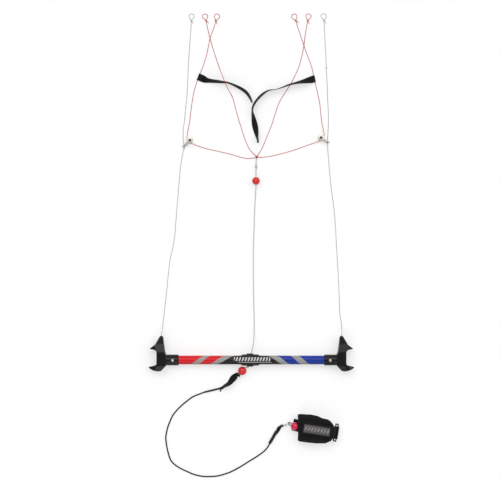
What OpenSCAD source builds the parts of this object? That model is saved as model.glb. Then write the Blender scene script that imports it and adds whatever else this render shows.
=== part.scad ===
// Control bar of a three-line trainer kite, with its line set, brake pulleys,
// landing strap, safety line and wrist leash, laid out flat on the ground.
// Units are millimetres. The bar lies along X, the lines run towards +Y and
// z = 0 is the surface that everything lies on.

/* [Bar] */
// Half length of the bar that the grips cover
grip_half = 205; // [150:1:260]
// Outer radius of the grips
grip_r = 12.5; // [11.5:0.1:14]
// Wall of the grips
grip_wall = 2; // [1:0.1:3]
// Wall of the alloy tube
tube_wall = 1.5; // [1:0.1:2.5]
// How far the tube goes into each winder's socket
tube_in_socket = 30; // [24:1:34]
// Length of the foam plug in each end of the tube
plug_len = 50; // [20:1:80]

/* [Centre moulding] */
// Where the middle of the moulding lies along the bar
moulding_x = -3; // [-10:1:10]
// Length of the moulding along the bar
moulding_len = 54; // [44:1:70]
// Outer radius of the moulding, which is also the height of the bar's axis
moulding_r = 16; // [15.5:0.1:20]
// Radius of the hole that the safety line runs through
guide_r = 6; // [5.5:0.1:6.5]
// Wall of the bush in that hole
guide_wall = 1.5; // [1:0.1:2]

/* [Winders] */
// Length of each winder's socket
socket_len = 37; // [34:1:45]
// Outer radius of each winder's socket
socket_r = 15.5; // [14.5:0.1:15.5]
// Height of the horn's tip above the bar's axis, along Y
horn_top = 68.5; // [60:0.5:80]
// Radius of the horn's rounded tip
horn_tip_r = 6; // [5:0.1:7]
// Distance from the socket's end to the wall of the line notch
notch_wall = 25; // [22:0.5:28]
// Radius of the fillets in the line notch
notch_fillet = 8; // [5:0.5:9]
// Thickness of the winder at the tips of the horn and the hooks
winder_tip_t = 13; // [10:0.5:18]
// Distance of each winder screw from the grip's end
screw_in = 16.5; // [12:0.5:22]
// Radius of the screws' shanks
screw_r = 2; // [1.5:0.1:2.5]
// Radius of the screws' heads
screw_head_r = 4.5; // [3.5:0.1:5.5]

/* [Stopper balls] */
// Radius of the upper ball on the safety line
upper_ball_r = 11; // [9:0.5:13]
// Radius of the lower ball, next to the bar
lower_ball_r = 12.25; // [10:0.25:13]
// Radius of the hole through each ball
ball_hole_r = 2.3; // [2:0.1:3]

/* [Lines] */
// Diameter of the brake lines and leader lines
line_d = 1.8; // [1.2:0.1:2.4]
// Diameter of the safety line
safety_d = 3; // [2:0.1:4]
// Diameter of the leash cord
leash_d = 4; // [3:0.1:5]
// Width of the landing strap's webbing
web_w = 20; // [15:1:25]
// Thickness of the webbing
web_t = 1.4; // [1:0.1:2]

/* [Pulleys] */
// Outer radius of the sheaves
sheave_r = 9.5; // [9:0.1:11]
// Radius at the bottom of the sheave's groove
groove_r = 7; // [6:0.1:7]
// Radius of the pulley axles
axle_r = 2.2; // [1.5:0.1:3]
// Height of a pulley over its two cheeks
pulley_h = 12; // [11:0.1:14]
// Thickness of each cheek
cheek_t = 1.5; // [1:0.1:2]

/* [Wrist cuff] */
// Height of the cuff as it lies
cuff_h = 30; // [24:1:36]
// Wall of the cuff
cuff_wall = 5; // [3:0.5:7]
// Width of the closure strap
closure_w = 36; // [30:1:40]
// Thickness of the closure strap
closure_t = 2; // [1.5:0.1:3]
// Radius of the round bars of the closure ring
ring_bar_r = 1.8; // [1.4:0.1:2.2]
// Radius of the release pin
pin_r = 1.5; // [1.2:0.1:1.6]

/* [Hidden] */

eps = 0.01;
slip = 0.05;               // running clearance of a shaft in a hole
cord_sides = 8;

bar_z = moulding_r;        // the bar's axis above the ground
tube_r = grip_r - grip_wall;
tube_half = grip_half + tube_in_socket;
socket_end = grip_half + socket_len;
screw_x = grip_half + screw_in;
guide_x = moulding_x - 1;
grip_inner_end = 13;       // from the moulding's middle to where each grip stops
boss_r = guide_r + guide_wall + 3;
boss_y = moulding_r + 0.5;
flange_t = 1.5;
head_t = 2.3;
head_seat = bar_z + socket_r - 1.2;
nut_r = 3.9;
nut_t = 3;
nut_seat = bar_z - socket_r + 0.7 + nut_t;
winder_t = 2 * bar_z;      // flat underside on the ground
leader_hole_r = line_d / 2 + 0.7;
pocket_r = 5;
pocket_y = horn_top - 32;
horn_x = 12;               // the horn's middle, outwards from the socket's end

// Routes, as [x, y, z] of the cord's middle. Lines lie on the ground and rise
// in humps where they cross something or go into a hole.
lz = 0.9;
sz = 1.5;
left_pulley_at = [-174, 620];
right_pulley_at = [197, 627];
pulley_z = pulley_h / 2;
wrap_r = 8.2;              // the line's middle round a sheave
LEFT_LEADER_LOWER = [
    [-254, 44, 16], [-254, 56, 16], [-253.6, 70, 15.8], [-252, 84, 11], [-250, 102, 3.5], [-247, 128, lz],
    [-240, 190, lz], [-231, 275, lz], [-218, 340, lz], [-212, 412, lz], [-203, 520, lz],
    [-199, 555, lz], [-194, 585, 2], [-190.8, 600, 4]
];
LEFT_LEADER_UPPER = [
    [-190.8, 605, 4], [-193, 623, 2], [-193, 649, lz], [-189, 678, lz], [-186, 712, lz],
    [-183, 736, lz], [-180, 795, lz], [-177, 855, lz], [-172, 920, lz], [-170, 957, 1.5]
];
RIGHT_LEADER_LOWER = [
    [254, 44, 16], [254, 56, 16], [254.6, 70, 15.8], [255, 84, 11], [254, 105, 3.5], [250, 134, lz],
    [248, 190, lz], [246, 232, lz], [241, 322, lz], [235, 412, lz], [224, 502, lz],
    [219, 560, lz], [216, 595, 2.5], [215.3, 612, 4]
];
RIGHT_LEADER_UPPER = [
    [215.4, 616.5, 4], [216, 634, 2], [218, 678, lz], [216, 736, lz], [214, 785, lz], [212, 824, lz],
    [211, 855, lz], [208, 909, lz], [205.5, 957, 1.5]
];
LEFT_INNER = [
    [-128, 957, 1.5], [-124, 938, lz], [-117, 909, 3.1], [-109, 881, lz], [-99, 850, lz],
    [-90, 823, 5], [-83, 804, 16], [-76, 786, 22.4], [-69, 770, 17], [-61, 756, 6],
    [-52, 738, lz], [-40, 693, lz], [-21, 631, lz], [-7, 598, lz], [5, 583, 2.5], [12.5, 577, 4]
];
LEFT_OUTER = [
    [-101, 957, 1.5], [-107, 936, lz], [-117, 909, lz], [-126, 865, lz], [-137, 830, lz],
    [-143, 815, 2.1], [-149, 799, 2.3], [-154, 786, 2.1], [-159, 770, lz], [-164, 752, lz],
    [-170, 712, lz], [-175, 671, lz], [-180, 645, 4.6], [-182, 631, pulley_z],
    [-182.3, 620, pulley_z], [-180, 614, pulley_z], [-174, 611.6, pulley_z],
    [-166, 610, 5.8], [-150, 604, 3], [-121, 595, lz], [-67, 583, lz], [-29, 572, lz],
    [-10, 569, lz], [3, 569.5, 2], [11.5, 572, 4]
];
RIGHT_OUTER = [
    [126, 957, 1.5], [136, 926, lz], [148, 890, lz], [160, 857, lz], [169, 833, lz],
    [174.5, 811, 2.1], [178, 794, 2.3], [181, 779, 2.1], [185, 763, lz], [193, 726, lz],
    [198, 680, lz], [202, 655, 4.2], [205, 640, pulley_z], [205.3, 628, pulley_z],
    [203.2, 621.1, pulley_z], [197, 618.6, pulley_z], [189, 616.5, 5.8], [176, 612, 3],
    [160, 607, lz], [122, 593, lz], [68, 578, lz], [38, 573, lz], [27, 572, 2], [19.5, 572.5, 4]
];
RIGHT_INNER = [
    [159, 957, 1.5], [154.5, 932, lz], [151, 909, 1.6], [148.6, 890, 3.1], [145.5, 871, 1.6], [141, 852, lz],
    [133, 825, lz], [113, 783, lz], [96, 756, lz], [79, 728, lz], [67, 694, lz],
    [57, 663, lz], [33, 604, lz], [24, 587, 2.5], [18, 577.5, 4]
];
SAFETY_LINE = [
    [14, 570, 4.2], [13.6, 561, 2.4], [13.2, 553, 3], [13, 541, 3.6], [13, 532, 6.5], [13, 522, 10],
    [13, 515, upper_ball_r], [13, 505, upper_ball_r], [13, 495, upper_ball_r], [12.6, 486, 9.6],
    [12, 472, 4.5], [11, 455, sz], [9.5, 425, sz], [7.6, 376, sz], [6, 320, sz], [5.7, 268, sz],
    [6, 210, sz], [6.8, 159, sz], [7.8, 110, sz], [8, 84, 3.5], [6.6, 56, 10], [3.6, 36, 14.6],
    [-0.4, 18, 16], [-4, 0, 16], [-6.8, -13, 15.8], [-7.9, -17.6, 15.2], [-9.6, -20.6, 14.2],
    [-12.4, -21.2, 13.1], [-15.7, -21.2, 12.4], [-19, -24, lower_ball_r], [-26, -31, lower_ball_r],
    [-33, -38, lower_ball_r], [-36, -41, lower_ball_r]
];
LEASH_CORD = [
    [-132, -91.8, 2.6], [-146, -97, 2.1], [-170, -108, 2], [-199, -131, 2], [-219, -153, 2], [-233, -181, 2],
    [-240, -205, 2], [-242, -229, 2], [-231, -278, 2], [-213, -300, 2], [-179, -318, 2],
    [-150, -328, 2], [-120, -331, 2], [-90, -328, 2], [-60, -318, 2], [-31, -303, 2],
    [-4, -286, 2], [20, -271, 2], [37, -258, 2.1], [47, -246, 3.4], [52.5, -234.5, 4.7]
];
// Webbing routes, as [x, y, turn, lift]: turn is 0 where the webbing lies flat
// and 90 where it stands on its edge, and lift is the lower edge's height.
LEFT_STRAP = [
    [-143, 797, 0, 1.6], [-136, 794, 14, 0.8], [-121, 789, 58, 0.2], [-94, 786, 72, 0], [-76, 784, 81, 0],
    [-67, 783, 85, 0], [-51, 777, 80, 0], [-29, 766, 72, 0], [-13, 754, 70, 0], [-3, 739, 75, 0],
    [2.5, 726, 84, 0]
];
RIGHT_STRAP = [
    [171.5, 792, 0, 1.6], [163, 789.5, 22, 0.8], [150, 786, 45, 1], [136, 783, 60, 2.2], [122, 780, 69, 2.6],
    [104, 775, 73, 2.6], [91, 770, 77, 1.5], [79, 766, 81, 0], [68, 763, 84, 0], [49, 760, 76, 0],
    [31, 749, 68, 0], [14, 731, 70, 0], [5, 715, 74, 0], [3, 702, 79, 0], [6, 685, 60, 0],
    [10, 663, 37, 0], [14, 644, 50, 0], [17.5, 625, 75, 0], [19.5, 613, 78, 0]
];
LEASH_LOOP = [
    [-39, -44, 54, 3], [-45, -48, 40, 1], [-51, -53, 32, 0], [-61, -66, 56, 0],
    [-71, -72.5, 70, 0], [-81, -78.5, 76, 0]
];
strap_end_len = 14;
strap_end_t = 5;
ball_axis = [-1, -1, 0];    // the safety line's direction through the lower ball

// Swivel, release and cuff
swivel_z = 5.3;
swivel_turn = 17;
barrel_at = [94.5, -184.3, swivel_z];
barrel_r = 3.2;
barrel_len = 7;
wire_r = 1.1;
eye_r = 4;
loop_at = [106.8, -180.5];
pin_at = [121, -187];
loop_cord_r = 1.2;
loop_bend_r = 3.2;
release_ball_r = 10;
release_ball_z = 17;
tab_t = 3.5;
cuff_left = 130;
cuff_right = 234;
closure_turn = -9;
closure_bar_at = [241, -205];
ring_z = 17;
ring_len = 48;
ring_w = 10;
CUFF_OUTLINE = [
    [135, -154], [170, -156], [188, -160], [200, -166], [218, -170], [226, -177], [232, -187],
    [234, -210], [224, -226], [208, -233], [182, -233], [160, -231], [130, -227]
];

function unit(v) = v / norm(v);
// One point of a smooth curve through b and c, with a and d either side.
function between(a, b, c, d, t) =
    0.5 * (2 * b + (c - a) * t + (2 * a - 5 * b + 4 * c - d) * t * t + (3 * b - a - 3 * c + d) * t * t * t);
// The route with n - 1 points added between each pair of its own.
function smooth(p, n) = [
    for (i = [0 : len(p) - 2], j = [0 : n - 1])
        between(p[max(i - 1, 0)], p[i], p[i + 1], p[min(i + 2, len(p) - 1)], j / n),
    p[len(p) - 1]
];
function along(p, i) = unit(p[min(i + 1, len(p) - 1)] - p[max(i - 1, 0)]);
function circle_of(n, r) = [for (k = [0 : n - 1]) r * [cos(360 * k / n), sin(360 * k / n)]];
function ribbon_of(turn, w, t) = [
    for (c = [[-1, -1], [1, -1], [1, 1], [-1, 1]])
        [c.x * w / 2 * cos(turn) - c.y * t / 2 * sin(turn), c.x * w / 2 * sin(turn) + c.y * t / 2 * cos(turn)]
];
function arc(c, r, a, b, n) = [for (i = [0 : n]) c + r * [cos(a + (b - a) * i / n), sin(a + (b - a) * i / n)]];

// A closed solid through rings of m points, each ring square to the path.
module swept(path, rings, m) {
    n = len(path);
    points = [
        for (i = [0 : n - 1])
            let (t = along(path, i), s = unit(cross([0, 0, 1], t)), u = cross(t, s))
                for (q = rings[i]) path[i] + q.x * s + q.y * u
    ];
    sides = [for (i = [0 : n - 2], k = [0 : m - 1])
        [i * m + k, (i + 1) * m + k, (i + 1) * m + (k + 1) % m, i * m + (k + 1) % m]];
    halves = [for (f = sides) each [[f[0], f[1], f[2]], [f[0], f[2], f[3]]]];
    ends = [[for (k = [0 : m - 1]) k], [for (k = [m - 1 : -1 : 0]) (n - 1) * m + k]];
    polyhedron(points, concat(halves, ends));
}

module cord(route, d, n) {
    path = smooth(route, n);
    ring = circle_of(cord_sides, d / 2);
    swept(path, [for (p = path) ring], cord_sides);
}

module webbing(route, w, t, n) {
    fine = smooth(route, n);
    path = [for (p = fine) [p[0], p[1], p[3] + abs(sin(p[2])) * w / 2 + abs(cos(p[2])) * t / 2]];
    swept(path, [for (p = fine) ribbon_of(p[2], w, t)], 4);
}

// A round bar from a to b.
module rod(a, b, r, r_end = undef) {
    v = b - a;
    translate(a) rotate([0, acos(v.z / norm(v)), atan2(v.y, v.x)])
        cylinder(h = norm(v), r1 = r, r2 = is_undef(r_end) ? r : r_end, $fn = 48);
}

module along_x(x0, x1, r) {
    translate([x0, 0, bar_z]) rotate([0, 90, 0]) cylinder(h = x1 - x0, r = r, $fn = 96);
}

module along_y(y0, y1, r) {
    translate([guide_x, y0, bar_z]) rotate([-90, 0, 0]) cylinder(h = y1 - y0, r = r, $fn = 72);
}

module both_sides() {
    for (side = [-1, 1]) translate([side * screw_x, 0, 0]) children();
}

module knot(at, r) {
    translate([at.x, at.y, at.z]) sphere(r = r, $fn = 40);
}

// Bar

module bar_tube() {
    color("silver") difference() {
        along_x(-tube_half, tube_half, tube_r);
        along_x(-tube_half - 1, tube_half + 1, tube_r - tube_wall);
        along_y(-moulding_r - 2, moulding_r + 2, guide_r + guide_wall);
        both_sides() cylinder(h = 2 * bar_z, r = screw_r, $fn = 48);
    }
}

module grip(x0, x1) {
    difference() {
        along_x(x0, x1, grip_r);
        along_x(x0 - 1, x1 + 1, tube_r);
    }
}

module left_grip() {
    color("crimson") grip(-grip_half, moulding_x - grip_inner_end);
}

module right_grip() {
    color("royalblue") grip(moulding_x + grip_inner_end, grip_half);
}

module centre_moulding() {
    half = moulding_len / 2;
    lip_r = grip_r + 1;
    color("dimgray") difference() {
        union() {
            translate([moulding_x, 0, bar_z]) rotate([0, 90, 0]) rotate_extrude($fn = 96) polygon([
                [tube_r, -grip_inner_end], [tube_r, grip_inner_end], [grip_r, grip_inner_end],
                [grip_r, half], [lip_r, half], [moulding_r, half - 7],
                [moulding_r, 7 - half], [lip_r, -half], [grip_r, -half], [grip_r, -grip_inner_end]
            ]);
            difference() {
                along_y(-boss_y, boss_y, boss_r);
                along_x(-moulding_len, moulding_len, tube_r);
                along_y(-boss_y - 1, boss_y + 1, guide_r + guide_wall);
            }
        }
        along_y(-boss_y - 1, boss_y + 1, guide_r + guide_wall);
    }
}

module line_guide() {
    color("black") difference() {
        union() {
            along_y(-boss_y, boss_y, guide_r + guide_wall);
            along_y(-boss_y - flange_t, -boss_y, boss_r - 1);
            along_y(boss_y, boss_y + flange_t, boss_r - 1);
        }
        along_y(-boss_y - flange_t - 1, boss_y + flange_t + 1, guide_r);
    }
}

// Outline of the right winder, from its socket's end on the bar's axis.
function winder_outline() = concat(
    [[-3, -14], [4, -22], [12, -30.5], [22, -32], [37, -28.5], [46, -23], [48, -20.5], [46.5, -19.2]],
    arc([notch_wall + notch_fillet, -16 + notch_fillet], notch_fillet, 270, 180, 6),
    arc([notch_wall + notch_fillet, 29 - notch_fillet], notch_fillet, 180, 90, 6),
    [[43, 30.8], [44.5, 32.5], [42, 34.5], [30, 43]],
    arc([horn_x, horn_top - horn_tip_r], horn_tip_r, 12, 172, 8),
    [[5, 51], [1, 21.5], [-2, 16]]
);

module winder_blank() {
    tip = winder_tip_t / 2;
    full = winder_t / 2;
    intersection() {
        translate([socket_end, 0, 0]) linear_extrude(winder_t) polygon(winder_outline());
        translate([socket_end - 10, 0, bar_z]) rotate([90, 0, 90]) linear_extrude(70) polygon([
            [-40, -tip], [-34, -tip - 3], [-16, -full], [22, -full], [46, -tip - 3.5], [horn_top + 1, -tip],
            [horn_top + 1, tip], [46, tip + 3.5], [22, full], [-16, full], [-34, tip + 3], [-40, tip]
        ]);
        translate([socket_end, 100, bar_z]) rotate([90, 0, 0]) linear_extrude(200) polygon([
            [-5, -full], [24, -full], [34, -tip - 2], [49, -tip + 2],
            [49, tip - 2], [34, tip + 2], [24, full], [-5, full]
        ]);
    }
}

module winder() {
    difference() {
        union() {
            winder_blank();
            along_x(grip_half, socket_end, socket_r);
        }
        along_x(grip_half - 1, tube_half, tube_r);
        translate([screw_x, 0, -1]) cylinder(h = winder_t + 2, r = screw_r, $fn = 48);
        translate([screw_x, 0, head_seat]) cylinder(h = 5, r = screw_head_r + 0.3, $fn = 48);
        translate([screw_x, 0, -1]) cylinder(h = nut_seat + 1, r = nut_r + 0.7, $fn = 48);
        translate([socket_end + horn_x, pocket_y, bar_z]) rotate([-90, 0, 0])
            cylinder(h = 50, r = leader_hole_r, $fn = 36);
        translate([socket_end + horn_x, pocket_y, -1])
            cylinder(h = bar_z + pocket_r + 1, r = pocket_r, $fn = 48);
    }
}

module right_winder() {
    color("black") winder();
}

module left_winder() {
    color("black") mirror([1, 0, 0]) winder();
}

module winder_screws() {
    color("gainsboro") both_sides() {
        translate([0, 0, nut_seat - nut_t]) cylinder(h = head_seat - nut_seat + nut_t + eps, r = screw_r, $fn = 48);
        translate([0, 0, head_seat]) difference() {
            cylinder(h = head_t, r1 = screw_head_r, r2 = screw_head_r - 1, $fn = 48);
            translate([0, 0, head_t - 1.2]) cylinder(h = 2, r = 1.5, $fn = 6);
        }
    }
}

module winder_nuts() {
    color("silver") both_sides() translate([0, 0, nut_seat - nut_t]) difference() {
        cylinder(h = nut_t, r = nut_r, $fn = 6);
        translate([0, 0, -1]) cylinder(h = nut_t + 2, r = screw_r, $fn = 48);
    }
}

module left_tube_plug() {
    color("wheat") along_x(-screw_x + 8, -screw_x + 8 + plug_len, tube_r - tube_wall);
}

module right_tube_plug() {
    color("wheat") along_x(screw_x - 8 - plug_len, screw_x - 8, tube_r - tube_wall);
}

module leader_knot() {
    knot([socket_end + horn_x, pocket_y + 1, bar_z], pocket_r - 1.4);
}

module left_leader_knot() {
    color("white") mirror([1, 0, 0]) leader_knot();
}

module right_leader_knot() {
    color("white") leader_knot();
}

// Leaders and brake lines

module left_leader_lower() {
    color("white") cord(LEFT_LEADER_LOWER, line_d, 4);
}

module right_leader_lower() {
    color("white") cord(RIGHT_LEADER_LOWER, line_d, 4);
}

module left_leader_upper() {
    color("white") cord(LEFT_LEADER_UPPER, line_d, 5);
}

module right_leader_upper() {
    color("white") cord(RIGHT_LEADER_UPPER, line_d, 5);
}

module right_leader_mid_knot() {
    color("white") knot([212, 824, 2.2], 2.2);
}

// A loop for a flying line, with its knot at the end of the cord.
module end_loop(at, turn) {
    reach = 11;
    translate([at.x, at.y, 0]) rotate([0, 0, turn]) {
        translate([0, 1.6, 2.6]) sphere(r = 2.6, $fn = 32);
        translate([0, reach + 2, line_d / 2]) rotate_extrude($fn = 48)
            translate([reach - 3, 0]) circle(d = line_d, $fn = 24);
        translate([-1.3, 1, 0]) cube([2.6, 4.5, line_d]);
    }
}

module leader_end_loops() {
    color("white") {
        end_loop([-170, 957], -4);
        end_loop([205.5, 957], 3);
    }
}

module brake_end_loops() {
    color("crimson") {
        end_loop([-128, 957], 12);
        end_loop([-101, 957], -16);
        end_loop([126, 957], 18);
        end_loop([159, 957], -11);
    }
}

module left_inner_brake_line() {
    color("crimson") cord(LEFT_INNER, line_d, 4);
}

module left_outer_brake_line() {
    color("crimson") cord(LEFT_OUTER, line_d, 3);
}

module right_outer_brake_line() {
    color("crimson") cord(RIGHT_OUTER, line_d, 3);
}

module right_inner_brake_line() {
    color("crimson") cord(RIGHT_INNER, line_d, 4);
}

// Pulleys: each lies on one cheek with its axle upright

post_reach = 15.5;
post_r = 2.5;
left_tie_turn = -133;
right_tie_turn = -35;

module cheek() {
    linear_extrude(cheek_t) difference() {
        union() {
            circle(r = sheave_r - 1.2, $fn = 72);
            translate([0, -post_r - 1.5]) square([post_reach, 2 * post_r + 3]);
            translate([post_reach, 0]) circle(r = post_r + 1.5, $fn = 48);
        }
        circle(r = axle_r, $fn = 48);
    }
}

module pulley_frame() {
    cheek();
    translate([0, 0, pulley_h - cheek_t]) cheek();
    translate([post_reach, 0, cheek_t - eps]) cylinder(h = pulley_h - 2 * cheek_t + 2 * eps, r = post_r, $fn = 48);
}

module pulley_axle() {
    cylinder(h = pulley_h, r = axle_r, $fn = 48);
    translate([0, 0, pulley_h]) cylinder(h = 1.2, r1 = axle_r + 1.5, r2 = axle_r + 0.8, $fn = 48);
}

module pulley_sheave() {
    low = cheek_t + 0.7;
    high = pulley_h - low;
    mid = pulley_h / 2;
    rotate_extrude($fn = 96) polygon([
        [axle_r + slip, low], [sheave_r, low], [sheave_r, mid - 2], [groove_r, mid - 1],
        [groove_r, mid + 1], [sheave_r, mid + 2], [sheave_r, high], [axle_r + slip, high]
    ]);
}

// The tie goes round the frame's post and is knotted to the leader.
module pulley_tie(knot_reach) {
    translate([post_reach, 0, pulley_z]) rotate_extrude($fn = 48) translate([post_r + 0.9, 0]) circle(r = 0.9, $fn = 24);
    rod([post_reach + post_r + 0.9, 0, pulley_z], [knot_reach, 0, 4], 0.9);
    knot([knot_reach, 0, 4], 4);
}

module left_pulley(turned = true) {
    translate([left_pulley_at.x, left_pulley_at.y, 0]) rotate([0, 0, turned ? left_tie_turn : 0]) children();
}

module right_pulley(turned = true) {
    translate([right_pulley_at.x, right_pulley_at.y, 0]) rotate([0, 0, turned ? right_tie_turn : 0]) children();
}

module left_pulley_frame() {
    color("silver") left_pulley() pulley_frame();
}

module left_pulley_axle() {
    color("dimgray") left_pulley() pulley_axle();
}

module left_pulley_sheave() {
    color("ivory") left_pulley() pulley_sheave();
}

module left_pulley_tie() {
    color("dimgray") left_pulley() pulley_tie(24);
}

module right_pulley_frame() {
    color("silver") right_pulley() pulley_frame();
}

module right_pulley_axle() {
    color("dimgray") right_pulley() pulley_axle();
}

module right_pulley_sheave() {
    color("ivory") right_pulley() pulley_sheave();
}

module right_pulley_tie() {
    color("dimgray") right_pulley() pulley_tie(22.5);
}

// Landing strap

module strap_end(at, turn) {
    translate([at.x, at.y, 0]) rotate([0, 0, turn]) difference() {
        translate([-strap_end_len / 2, -web_w / 2, 0]) cube([strap_end_len, web_w, strap_end_t]);
        translate([0, 0, 2.3]) rotate([90, 0, 0])
            cylinder(h = web_w + 2, r = line_d / 2 + 0.6, center = true, $fn = 36);
    }
}

module left_strap_end() {
    color("black") strap_end([-149, 799.5], -20.5);
}

module right_strap_end() {
    color("black") strap_end([178, 794], 11.5);
}

module left_strap() {
    color("black") webbing(LEFT_STRAP, web_w, web_t, 5);
}

module right_strap() {
    color("black") webbing(RIGHT_STRAP, web_w, web_t, 4);
}

// Safety line and its stoppers

module junction_knot() {
    color("crimson") knot([15.5, 573.5, 4.5], 4.5);
}

module safety_line() {
    color("whitesmoke") cord(SAFETY_LINE, safety_d, 2);
}

module stop_knot() {
    color("whitesmoke") rod([13.2, 552, 3.6], [13, 541, 3.6], 3.4);
}

module upper_ball() {
    color("red") translate([13, 505, upper_ball_r]) difference() {
        sphere(r = upper_ball_r, $fn = 96);
        rotate([90, 0, 0]) cylinder(h = 2 * upper_ball_r + 2, r = ball_hole_r, center = true, $fn = 48);
    }
}

module lower_ball() {
    color("red") translate([-26, -31, lower_ball_r]) difference() {
        sphere(r = lower_ball_r, $fn = 96);
        rotate([90, 0, -45]) cylinder(h = 2 * lower_ball_r + 2, r = ball_hole_r, center = true, $fn = 48);
    }
}

module safety_line_end_knot() {
    reach = lower_ball_r + 3.8;
    color("whitesmoke") knot([-26, -31, lower_ball_r] + reach * unit(ball_axis), 3.5);
}

// Leash

module leash_webbing_loop() {
    color("black") webbing(LEASH_LOOP, web_w, 2 * web_t, 4);
}

module leash_knot() {
    color("black") knot([-84, -80, 5], 5);
}

module leash_sleeve_front() {
    color("black") rod([-87, -81, 3.2], [-132, -91.8, 2.6], 2.9, 2.5);
}

module leash_cord() {
    color("black") cord(LEASH_CORD, leash_d, 3);
}

module leash_sleeve_rear() {
    color("black") rod([52.5, -234.5, 4.7], [83.5, -190, 4.8], 4.6);
}

module on_swivel() {
    translate(barrel_at) rotate([0, 0, swivel_turn]) children();
}

module swivel_eye() {
    reach = barrel_len / 2 + 1.5 + eye_r;
    color("silver") on_swivel() {
        translate([-reach, 0, 0]) rotate_extrude($fn = 60) translate([eye_r, 0]) circle(r = wire_r, $fn = 32);
        rod([-reach + eye_r, 0, 0], [-barrel_len / 2 - 0.4, 0, 0], wire_r);
    }
}

module swivel_barrel() {
    color("silver") on_swivel() rotate([0, 90, 0]) rotate_extrude($fn = 72) polygon([
        [wire_r + slip, -barrel_len / 2], [barrel_r - 0.8, -barrel_len / 2], [barrel_r, 0.8 - barrel_len / 2],
        [barrel_r, barrel_len / 2 - 0.8], [barrel_r - 0.8, barrel_len / 2], [wire_r + slip, barrel_len / 2]
    ]);
}

// The ring stands upright, and its stem turns in the barrel.
module swivel_ring() {
    reach = barrel_len / 2 + 0.8 + wire_r + eye_r;
    color("silver") on_swivel() {
        translate([reach, 0, 0]) rotate([90, 0, 0]) rotate_extrude($fn = 60)
            translate([eye_r, 0]) circle(r = wire_r, $fn = 32);
        rod([-barrel_len / 2 + 0.6, 0, 0], [reach - eye_r, 0, 0], wire_r);
    }
}

// Release and cuff

module release_loop() {
    v = pin_at - loop_at;
    color("black") translate([loop_at.x, loop_at.y, swivel_z]) rotate([0, 0, atan2(v.y, v.x)]) {
        for (side = [-1, 1]) rod([0, side * loop_bend_r, 0], [norm(v), side * loop_bend_r, 0], loop_cord_r);
        for (end = [0, 1]) translate([end * norm(v), 0, 0]) rotate([0, 0, end == 0 ? 90 : -90])
            rotate_extrude(angle = 180, $fn = 60) translate([loop_bend_r, 0]) circle(r = loop_cord_r, $fn = 48);
    }
}

module release_ball() {
    half = 2;
    color("crimson") translate([pin_at.x, pin_at.y, release_ball_z]) rotate([90, 0, 0])
        rotate_extrude($fn = 96) intersection() {
            union() {
                translate([0, -half]) square([release_ball_r, 2 * half]);
                for (side = [-1, 1]) translate([0, side * half]) circle(r = release_ball_r, $fn = 96);
            }
            translate([0, -2 * release_ball_r]) square([2 * release_ball_r, 4 * release_ball_r]);
        }
}

module release_pin() {
    color("silver") translate([pin_at.x, pin_at.y, 0.6]) cylinder(h = release_ball_z - release_ball_r, r = pin_r, $fn = 48);
}

module cuff_tab() {
    color("black") difference() {
        translate([127, -186, 0]) rotate([0, 0, -12]) translate([-10.5, -17, 0]) cube([21, 34, tab_t]);
        translate([pin_at.x, pin_at.y, -1]) cylinder(h = tab_t + 2, r = pin_r + slip, $fn = 48);
    }
}

module flat_round(x0, x1, h) {
    r = h / 2;
    translate([x0 + r, 0]) circle(r = r, $fn = 96);
    translate([x1 - r, 0]) circle(r = r, $fn = 96);
    translate([x0 + r, -r]) square([x1 - x0 - h, h]);
}

module cuff_body() {
    color("dimgray") intersection() {
        translate([0, -140, cuff_h / 2]) rotate([90, 0, 0]) linear_extrude(110) difference() {
            flat_round(cuff_left, cuff_right, cuff_h);
            flat_round(cuff_left + cuff_wall, cuff_right - cuff_wall, cuff_h - 2 * cuff_wall);
        }
        linear_extrude(cuff_h) polygon(CUFF_OUTLINE);
    }
}

// Across the closure: x from the ring's outer bar, y along it, z up.
module on_closure() {
    translate([closure_bar_at.x, closure_bar_at.y, 0]) rotate([0, 0, closure_turn]) children();
}

module closure_ring() {
    half = ring_len / 2;
    back = ring_w - 2 * ring_bar_r;
    color("black") on_closure() translate([0, 0, ring_z]) {
        for (x = [0, -back]) rod([x, -half, 0], [x, half, 0], ring_bar_r);
        for (y = [-half, half]) {
            rod([-back, y, 0], [0, y, 0], ring_bar_r);
            for (x = [0, -back]) translate([x, y, 0]) sphere(r = ring_bar_r, $fn = 48);
        }
    }
}

closure_fold = cuff_h / 2 + 0.5;                    // inside of the strap's bend over the cuff's end
closure_bend_x = -(closure_fold + closure_t + ring_bar_r + 0.4);
closure_reach = 99;

module closure_profile() {
    translate([closure_bend_x, 0]) intersection() {
        difference() {
            circle(r = closure_fold + closure_t, $fn = 96);
            circle(r = closure_fold, $fn = 96);
        }
        square(100);
    }
    translate([-closure_reach, closure_fold]) square([closure_reach + closure_bend_x, closure_t]);
    translate([0, ring_z - cuff_h / 2]) difference() {
        circle(r = ring_bar_r + 0.4 + closure_t, $fn = 72);
        circle(r = ring_bar_r + 0.4, $fn = 72);
    }
}

module closure_strap() {
    color("black") on_closure() translate([0, closure_w / 2, cuff_h / 2]) rotate([90, 0, 0])
        linear_extrude(closure_w) closure_profile();
}

module closure_patch() {
    patch_w = closure_w - 13;
    color("gray") on_closure() translate([-closure_reach + 4, -patch_w / 2, cuff_h / 2 + closure_fold + closure_t])
        cube([closure_reach - 25, patch_w, 0.6]);
}

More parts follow.
